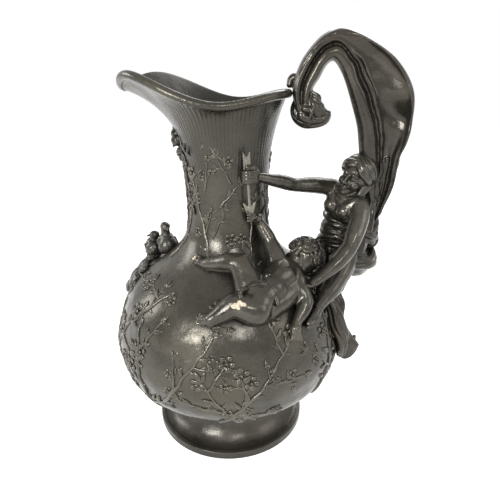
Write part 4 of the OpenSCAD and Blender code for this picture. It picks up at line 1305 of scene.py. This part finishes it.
# The forehead, the nose, the lips and the chin, then each side's cheek, brow, eye with its
# two lids and ear, and last the hands, the feet and the navel
features = [
    ball(on_child(0, 10.4, 4.4), (8.4, 3.8, 5.0), child_gaze),
    limb(spots(on_child, (0, 12.4, 1.2), (0, 13.6, -1.2), (0, 14.8, -3.2)), [0.9, 1.0, 1.5]),
    ball(on_child(-1.3, 13.6, -3.5), 1.1),
    ball(on_child(1.3, 13.6, -3.5), 1.1),
    limb(spots(on_child, (-2.4, 12.4, -6.2), (-1.0, 13.5, -5.9), (0, 13.3, -6.1), (1.0, 13.5, -5.9),
               (2.4, 12.4, -6.2)),
         [0.5, 0.85, 0.75, 0.85, 0.5]),
    limb(spots(on_child, (-2.0, 12.2, -7.2), (0, 13.2, -7.6), (2.0, 12.2, -7.2)), [0.5, 1.0, 0.5]),
    ball(on_child(0, 10.8, -10.2), 3.2),
]
for side in (-1, 1):
    features += [
        ball(on_child(side * 5.9, 8.4, -4.6), (4.4, 4.4, 4.4), child_gaze),
        limb(spots(on_child, (side * 1.4, 12.6, 2.2), (side * 4.3, 12.0, 3.3), (side * 7.4, 9.4, 2.2)),
             [0.7, 0.9, 0.5]),
        ball(on_child(side * 4.2, 10.6, 0.0), (2.4, 1.9, 1.8), child_gaze),
        limb(spots(on_child, (side * 2.0, 11.9, 0.1), (side * 4.3, 12.6, 1.0), (side * 6.4, 10.9, 0.1)),
             [0.35, 0.5, 0.35]),
        limb(spots(on_child, (side * 2.1, 11.9, -0.4), (side * 4.3, 12.3, -1.2),
                   (side * 6.3, 10.8, -0.4)), [0.3, 0.4, 0.3]),
        ball(on_child(side * 12.6, -0.4, -1.6), (1.6, 2.4, 3.2), child_gaze),
    ]
features += hand((30.0, -27.0, 200.0), (27.6, -28.2, 205.2), ((20.6, -31.2, 203.2), (20.2, -32.4, 211.0)),
                 (26.0, -34.4, 207.0), 4.4)
features += hand((62.2, -63.0, 138.8), (60.6, -67.2, 134.6), ((58.4, -74.4, 128.6), (65.2, -72.0, 127.4)),
                 (55.6, -68.6, 131.4), 4.6)
features += small_foot((-8.4, -49.0, 172.0), (-14.4, -44.8, 173.4), (-20.4, -41.4, 174.8), 3.7,
                       (0.2, 0.4, 0.9))
features += small_foot((1.4, -85.2, 144.4), (-3.2, -83.6, 145.0), (-9.0, -82.4, 145.2), 3.8,
                       (0.1, 0.5, 0.9))
navel = Vector((40.6, -57.4, 160.2)) + child_turn @ Vector((0, 12.6, 0))
features.append(ball(navel, 1.5))
child = sculpt("child_figure", [child_rough] + features, 0.58, 4)
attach(child, "root")
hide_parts("child_torso", "child_head", "child_right_arm", "child_left_arm", "child_right_leg",
            "child_left_leg")
coat(child, figure_finish)

# Child's curls
# Short thick locks, cast with the head, that roll up at the end. They stand all over it
# but the face.
golden_turn = 2.39996
curl_count = 58
curls = [ball(on_child(0, -2.0, 1.6), (13.4, 13.0, 13.4), child_gaze)]
for k in range(curl_count):
    high = 1 - 1.62 * (k + 0.5) / curl_count
    round_turn = k * golden_turn
    out = sqrt(max(0.0, 1 - high * high))
    way = Vector((out * sin(round_turn), out * cos(round_turn), high))
    on_brow, on_cheek = way.y > 0.42 and way.z < 0.62, way.y > 0.12 and way.z < 0.1
    if on_brow or on_cheek:
        continue
    root = Vector((way.x * 13.6, way.y * 13.2 - 1.4, way.z * 13.8 + 1.2))
    side = way.cross(Vector((0.3 * sin(k), 0.2, 1))).normalized()
    up = side.cross(way)
    line, sizes = [], []
    for j in range(7):
        angle = 0.9 * j + k * 1.7
        radius = 3.7 - 0.46 * j
        spot = root + way * (0.6 + 0.22 * j) + radius * (cos(angle) * side + sin(angle) * up)
        line.append(on_child(*spot))
        sizes.append(1.75 - 0.10 * j)
    curls.append(limb(line, sizes))
child_hair = sculpt("child_curls", curls, 0.5, 3)
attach(child_hair, "root")
coat(child_hair, figure_finish)

# Child's wrap
# A twist of thin cloth across the hips, cast with the child, with a looped end that hangs
# over the thigh.
band = gathers([(20.4, -72.0, 162.2), (26.6, -71.8, 167.4), (34.4, -68.6, 168.4), (43.0, -68.2, 163.4),
                (47.6, -72.6, 155.0)],
               [1.6, 2.1, 2.5, 2.2, 1.6], 5, twist=1.2, share=0.4)
band += gathers([(26.0, -73.6, 166.4), (22.8, -77.6, 168.0), (21.6, -81.0, 164.2), (25.2, -82.4, 160.2)],
                [1.6, 1.9, 1.7, 1.1], 4, twist=1.0, share=0.4)
band = sculpt("child_wrap", band, 0.5, 2)
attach(band, "root")
coat(band, cloth_finish)

# Bare spots
# Small flakes of the pale ground, on a knee and a toe of the child, where the dark patina
# has been knocked off.
knee_heart, knee_way = Vector((19.9, -78.1, 156.0)), Vector((0.134, -0.87, 0.474))
knee_along = Vector((0.93, 0.03, -0.36))
knee_up = knee_along.cross(knee_way).normalized()
flakes = []
for i in range(13):
    along, up = 3.6 * sin(2.4 * i + 0.5) * (0.4 + 0.05 * i), 2.3 * sin(3.7 * i + 1.0)
    way = (knee_way * 9.4 + knee_up * up).normalized()
    spot = knee_heart + along * knee_along + way * (9.5 + 0.12 * along)
    flakes.append(ball(spot, (1.5 + 0.5 * sin(1.9 * i), 1.2 + 0.4 * sin(2.9 * i), 0.62),
                       facing(knee_up, way)))
for i in range(5):
    flakes.append(ball((-19.3 + 1.0 * sin(2.2 * i), -43.1 + 0.3 * sin(i), 173.0 + 1.0 * i),
                       (1.05, 0.9, 0.75 + 0.3 * sin(1.3 * i))))
flakes = sculpt("bare_flakes", flakes, 0.28, 1)
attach(flakes, "root")
bare = Graph(bpy.data.materials.new("bare_ground"))
bare_spot = bare.value(bare.node("ShaderNodeTexCoord"), "Object")
bare_fine = bare.noise(bare_spot, 900.0, 3.0, 0.6)
bare_colour = bare.ramp(bare_fine, (
    (0.34, (0.24, 0.19, 0.12)), (0.52, (0.62, 0.54, 0.40)), (0.8, (0.80, 0.73, 0.58)),
))
bare_bump = bare.node("ShaderNodeBump", None, Strength=1.0, Distance=1.0, Height=bare_fine * 0.0003)
bare_skin = bare.node("ShaderNodeBsdfPrincipled", None, Base_Color=bare_colour,
                      Roughness=bare_fine * 0.3 + 0.5, Normal=bare.value(bare_bump))
bare.node("ShaderNodeOutputMaterial", None, Surface=bare.value(bare_skin))
coat(flakes, bare.owner)

# Arrow
# A slim cast rod with a flat barbed head below and a feathered end above her hand,
# soldered into her fist.
arrow_tip, arrow_end = Vector((22.6, -30.4, 200.9)), Vector((19.8, -34.4, 252.0))
arrow_line = (arrow_end - arrow_tip).normalized()
arrow_side = arrow_line.cross(Vector((0.25, -1, 0))).normalized()
arrow_up = arrow_side.cross(arrow_line)


def on_arrow(along, side, up=0.0):
    """A place on the arrow, in mm from its tip, to its side and off its flat"""
    return arrow_tip + along * arrow_line + side * arrow_side + up * arrow_up


arrow_clay = [limb(spots(on_arrow, (6, 0), (30, 0), (51, 0)), [1.1, 1.15, 1.15])]
for side in (-1, 1):
    for k in range(6):
        start, end = on_arrow(0.4, 0), on_arrow(17.0 - 0.9 * k, side * (4.4 - 0.85 * k))
        arrow_clay.append(limb([start, end], [0.4, 0.62]))
    for k in range(7):
        along = 37.0 + 2.3 * k
        barb = spots(on_arrow, (along, side * 0.5), (along + 2.4, side * 1.7, 0.3),
                     (along + 4.6, side * 2.6, 0.5))
        arrow_clay.append(limb(barb, [0.75, 0.7, 0.35]))
arrow_clay.append(limb(spots(on_arrow, (2, 0), (16, 0)), [0.7, 1.2]))
arrow = sculpt("cast_arrow", arrow_clay, 0.35, 1)
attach(arrow, "root")
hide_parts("arrow")
arrow_finish = pewter("arrow_pewter", (0.090, 0.083, 0.068), (0.190, 0.178, 0.150), 0.24, wear_and_highlight=0.6,
                      grain=0.8)
coat(arrow, arrow_finish)

# Doves and their ledge
# Two small birds under the spout, solid castings, on a rough leaf of rock that is soldered
# to the shoulder. The rock is chased in small flat facets with a softened edge.
ornament_finish = pewter("ornament_pewter", (0.030, 0.027, 0.022), (0.066, 0.061, 0.051), 0.28, wear_and_highlight=0.45,
                         grain=1.2)


def dove(body, head, tail, forward, size, nearer):
    """A bird with folded wings: body, neck, head, beak, wings and tail in one list"""
    body, head, tail = Vector(body), Vector(head), Vector(tail)
    forward = Vector(forward).normalized()
    turn = facing(forward, (0, 0, 1))
    across = turn @ Vector((1, 0, 0))
    crown = facing(nearer, (0, 0, 1))
    above = Vector((0, 0, size))
    brow = head + crown @ Vector((0, size * 0.42, 0))
    beak = head + crown @ Vector((0, size * 0.95, -size * 0.14))
    made = [
        ball(body, (size, size * 1.12, size * 1.22), turn),
        ball(body + forward * size * 0.35 + above * 0.5, (size * 0.82, size * 0.8, size * 0.9), turn),
        limb([body + above * 0.7, body.lerp(head, 0.6) + forward * size * 0.1, head],
             [size * 0.72, size * 0.5, size * 0.46]),
        ball(head, (size * 0.50, size * 0.60, size * 0.52), crown),
        limb([brow, beak], [size * 0.2, size * 0.05]),
    ]
    for side in (-1, 1):
        aside = across * side * size
        made.append(ball(head + crown @ Vector((side * size * 0.42, size * 0.2, size * 0.12)), size * 0.11))
        for k in range(4):
            root = body + aside * (0.80 - 0.05 * k) + above * (0.55 - 0.30 * k) + forward * size * 0.3
            end = tail + aside * (0.28 - 0.05 * k) + above * (0.28 - 0.12 * k)
            made.append(limb([root, root.lerp(end, 0.5) + aside * 0.16, end],
                             [size * 0.26, size * 0.22, size * 0.08]))
    for k in range(3):
        made.append(limb([body - forward * size * 0.6, tail + across * size * 0.2 * (k - 1)],
                         [size * 0.42, size * 0.16]))
    feathers = 64
    for k in range(feathers):
        around, high = golden_turn * k, 0.92 - 1.6 * (k + 0.5) / feathers
        out = sqrt(max(0, 1 - high * high))
        way = Vector((out * sin(around) * 0.955, out * cos(around) * 1.075, high * 1.165)) * size
        spot = body + turn @ way
        feather = turn @ Vector((out * sin(around) * 0.2, 0, -1.9))
        made.append(limb([spot, spot + feather], [0.62, 0.42]))
    return made


for name, node, clay in (
    ("left_bird", "left_dove",
     dove((-74.2, 18.6, 156.8), (-72.8, 19.4, 170.6), (-70.0, 13.6, 146.8), (-0.55, 0.8, 0.1), 7.9,
          (-0.9, -0.2, 0.0))),
    ("right_bird", "right_dove",
     dove((-57.4, 9.0, 164.4), (-59.0, 9.4, 182.4), (-50.0, 4.6, 156.0), (-0.5, 0.75, 0.25), 8.6,
          (0.5, -0.75, 0.0))),
):
    bird = sculpt(name, clay, 0.42, 2)
    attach(bird, "root")
    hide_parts(node)
    coat(bird, ornament_finish)

# The leaf of rock: lumps spread over the shoulder, two seats for the birds and its edges,
# pressed into one and cut back to few facets
golden_share = 0.618034
ledge_lumps = 44
ledge_clay = []
for k in range(ledge_lumps):
    turn = 154 + 37 * ((k * golden_share) % 1)
    high = 129.5 + 19.5 * ((k + 0.5) / ledge_lumps)
    fade = 1 - 0.55 * abs((turn - 172) / 18.5) ** 2
    lift = (1.2 + 3.6 * fade) + 1.1 * sin(2.7 * k)
    wide = 6.2 + 1.6 * sin(1.9 * k)
    spot = skin_at(turn, high, lift - 1.6)
    outward = skin_at(turn, high, 10) - skin_at(turn, high, 0)
    lump_turn = facing(skin_at(turn + 8, high, 0) - spot, outward)
    ledge_clay.append(ball(spot, (wide, wide * 0.8, 2.8), lump_turn))
ledge_clay += [
    ball((-73.6, 18.0, 146.2), (9.5, 9.5, 3.6), facing((0, 1, 0), (-0.4, 0, 1))),
    ball((-57.5, 8.5, 156.5), (9.5, 9.5, 5.0), facing((0, 1, 0), (-0.7, 0, 1))),
    limb(spots(skin_at, (152, 146, 0.4), (160, 150, 1.6), (172, 151, 2.0), (184, 149, 1.6),
               (192, 143, 0.4)), [1.4, 1.8, 2.0, 1.8, 1.2]),
    limb(spots(skin_at, (190, 141, 0.6), (188, 133, 1.4), (180, 127.5, 1.2), (168, 126, 0.9),
               (157, 129, 0.4)), [1.2, 1.7, 1.8, 1.6, 1.0]),
]
ledge = sculpt("rock_ledge", ledge_clay, 0.6, 4)
chiselled = ledge.modifiers.new("chiselled", "DECIMATE")
chiselled.ratio = 0.035
ledge.select_set(True)
bpy.ops.object.modifier_apply(modifier=chiselled.name)
soft_edge = ledge.modifiers.new("soft_edge", "BEVEL")
soft_edge.width = 0.16 * mm
soft_edge.segments = 1
bpy.ops.object.modifier_apply(modifier=soft_edge.name)
bpy.ops.object.shade_flat()
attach(ledge, "root")
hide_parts("shoulder_ledge")
coat(ledge, ornament_finish)
ledge.select_set(False)

# Spray under the spout
# A bunch of buds and leaves, one casting soldered to the neck, with long leafy stems that
# trail over it to both sides.
spray_clay = []

# The buds, one below the other
for k in range(7):
    high = 264 - 4.6 * k
    out = skin_r(high) + 4.2 - 0.55 * k + 0.8 * sin(2.0 * k)
    turn = 180 + 7 * sin(2.4 * k)
    heart = Vector((out * cos(radians(turn)), out * sin(radians(turn)), high))
    size = 5.6 - 0.42 * k + 0.5 * sin(3 * k)
    spray_clay.append(ball(heart, (size, size * 0.95, size * 0.9)))
    for j in range(5):
        lean = Vector((-0.55, sin(1.257 * j + k), cos(1.257 * j + k) * 0.9)).normalized()
        spray_clay.append(limb([heart, heart + lean * size * 0.75, heart + lean * size * 1.12],
                               [size * 0.55, size * 0.42, size * 0.16]))

# The stems to both sides, each with three leaves
for side in (-1, 1):
    for k in range(5):
        start_z = 264 - 7.4 * k - 1.6 * side
        reach, fall = 30 + 13 * sin(2.3 * k + side), 9 + 6.5 * k + 5 * sin(1.7 * k + 2 * side)
        line, sizes = [], []
        for j in range(9):
            share = j / 8
            turn = 180 + side * (4 + reach * share ** 0.8)
            high = start_z - fall * share ** 1.6 + 3.4 * sin(6.0 * share + 1.9 * k + side) * share
            line.append(skin_at(turn, high, 1.5 - 1.3 * share))
            sizes.append((1.7 - 1.1 * share) * (1.25 if j == 4 else 1))
        spray_clay.append(limb(line, sizes))
        for j in (3, 5, 7):
            root = Vector(line[j])
            turn = 180 + side * (4 + reach * (j / 8) ** 0.8) + side * 5
            away = skin_at(turn, root.z + (6 if (j + k) % 2 else -7), 0.9) - root
            leaf_line = [root + away * t for t in (0, 0.35, 0.75, 1.15)]
            spray_clay.append(limb(leaf_line, [0.5, 1.5, 1.2, 0.3]))
spray = sculpt("bud_spray", spray_clay, 0.5, 2)
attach(spray, "root")
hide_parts("spout_spray")
coat(spray, ornament_finish)

# The size of the finished model, next to the solids' own
size = {"cad": [list(map(float, corner)) for corner in cad_box],
        "visual": [list(map(float, corner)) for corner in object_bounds()]}
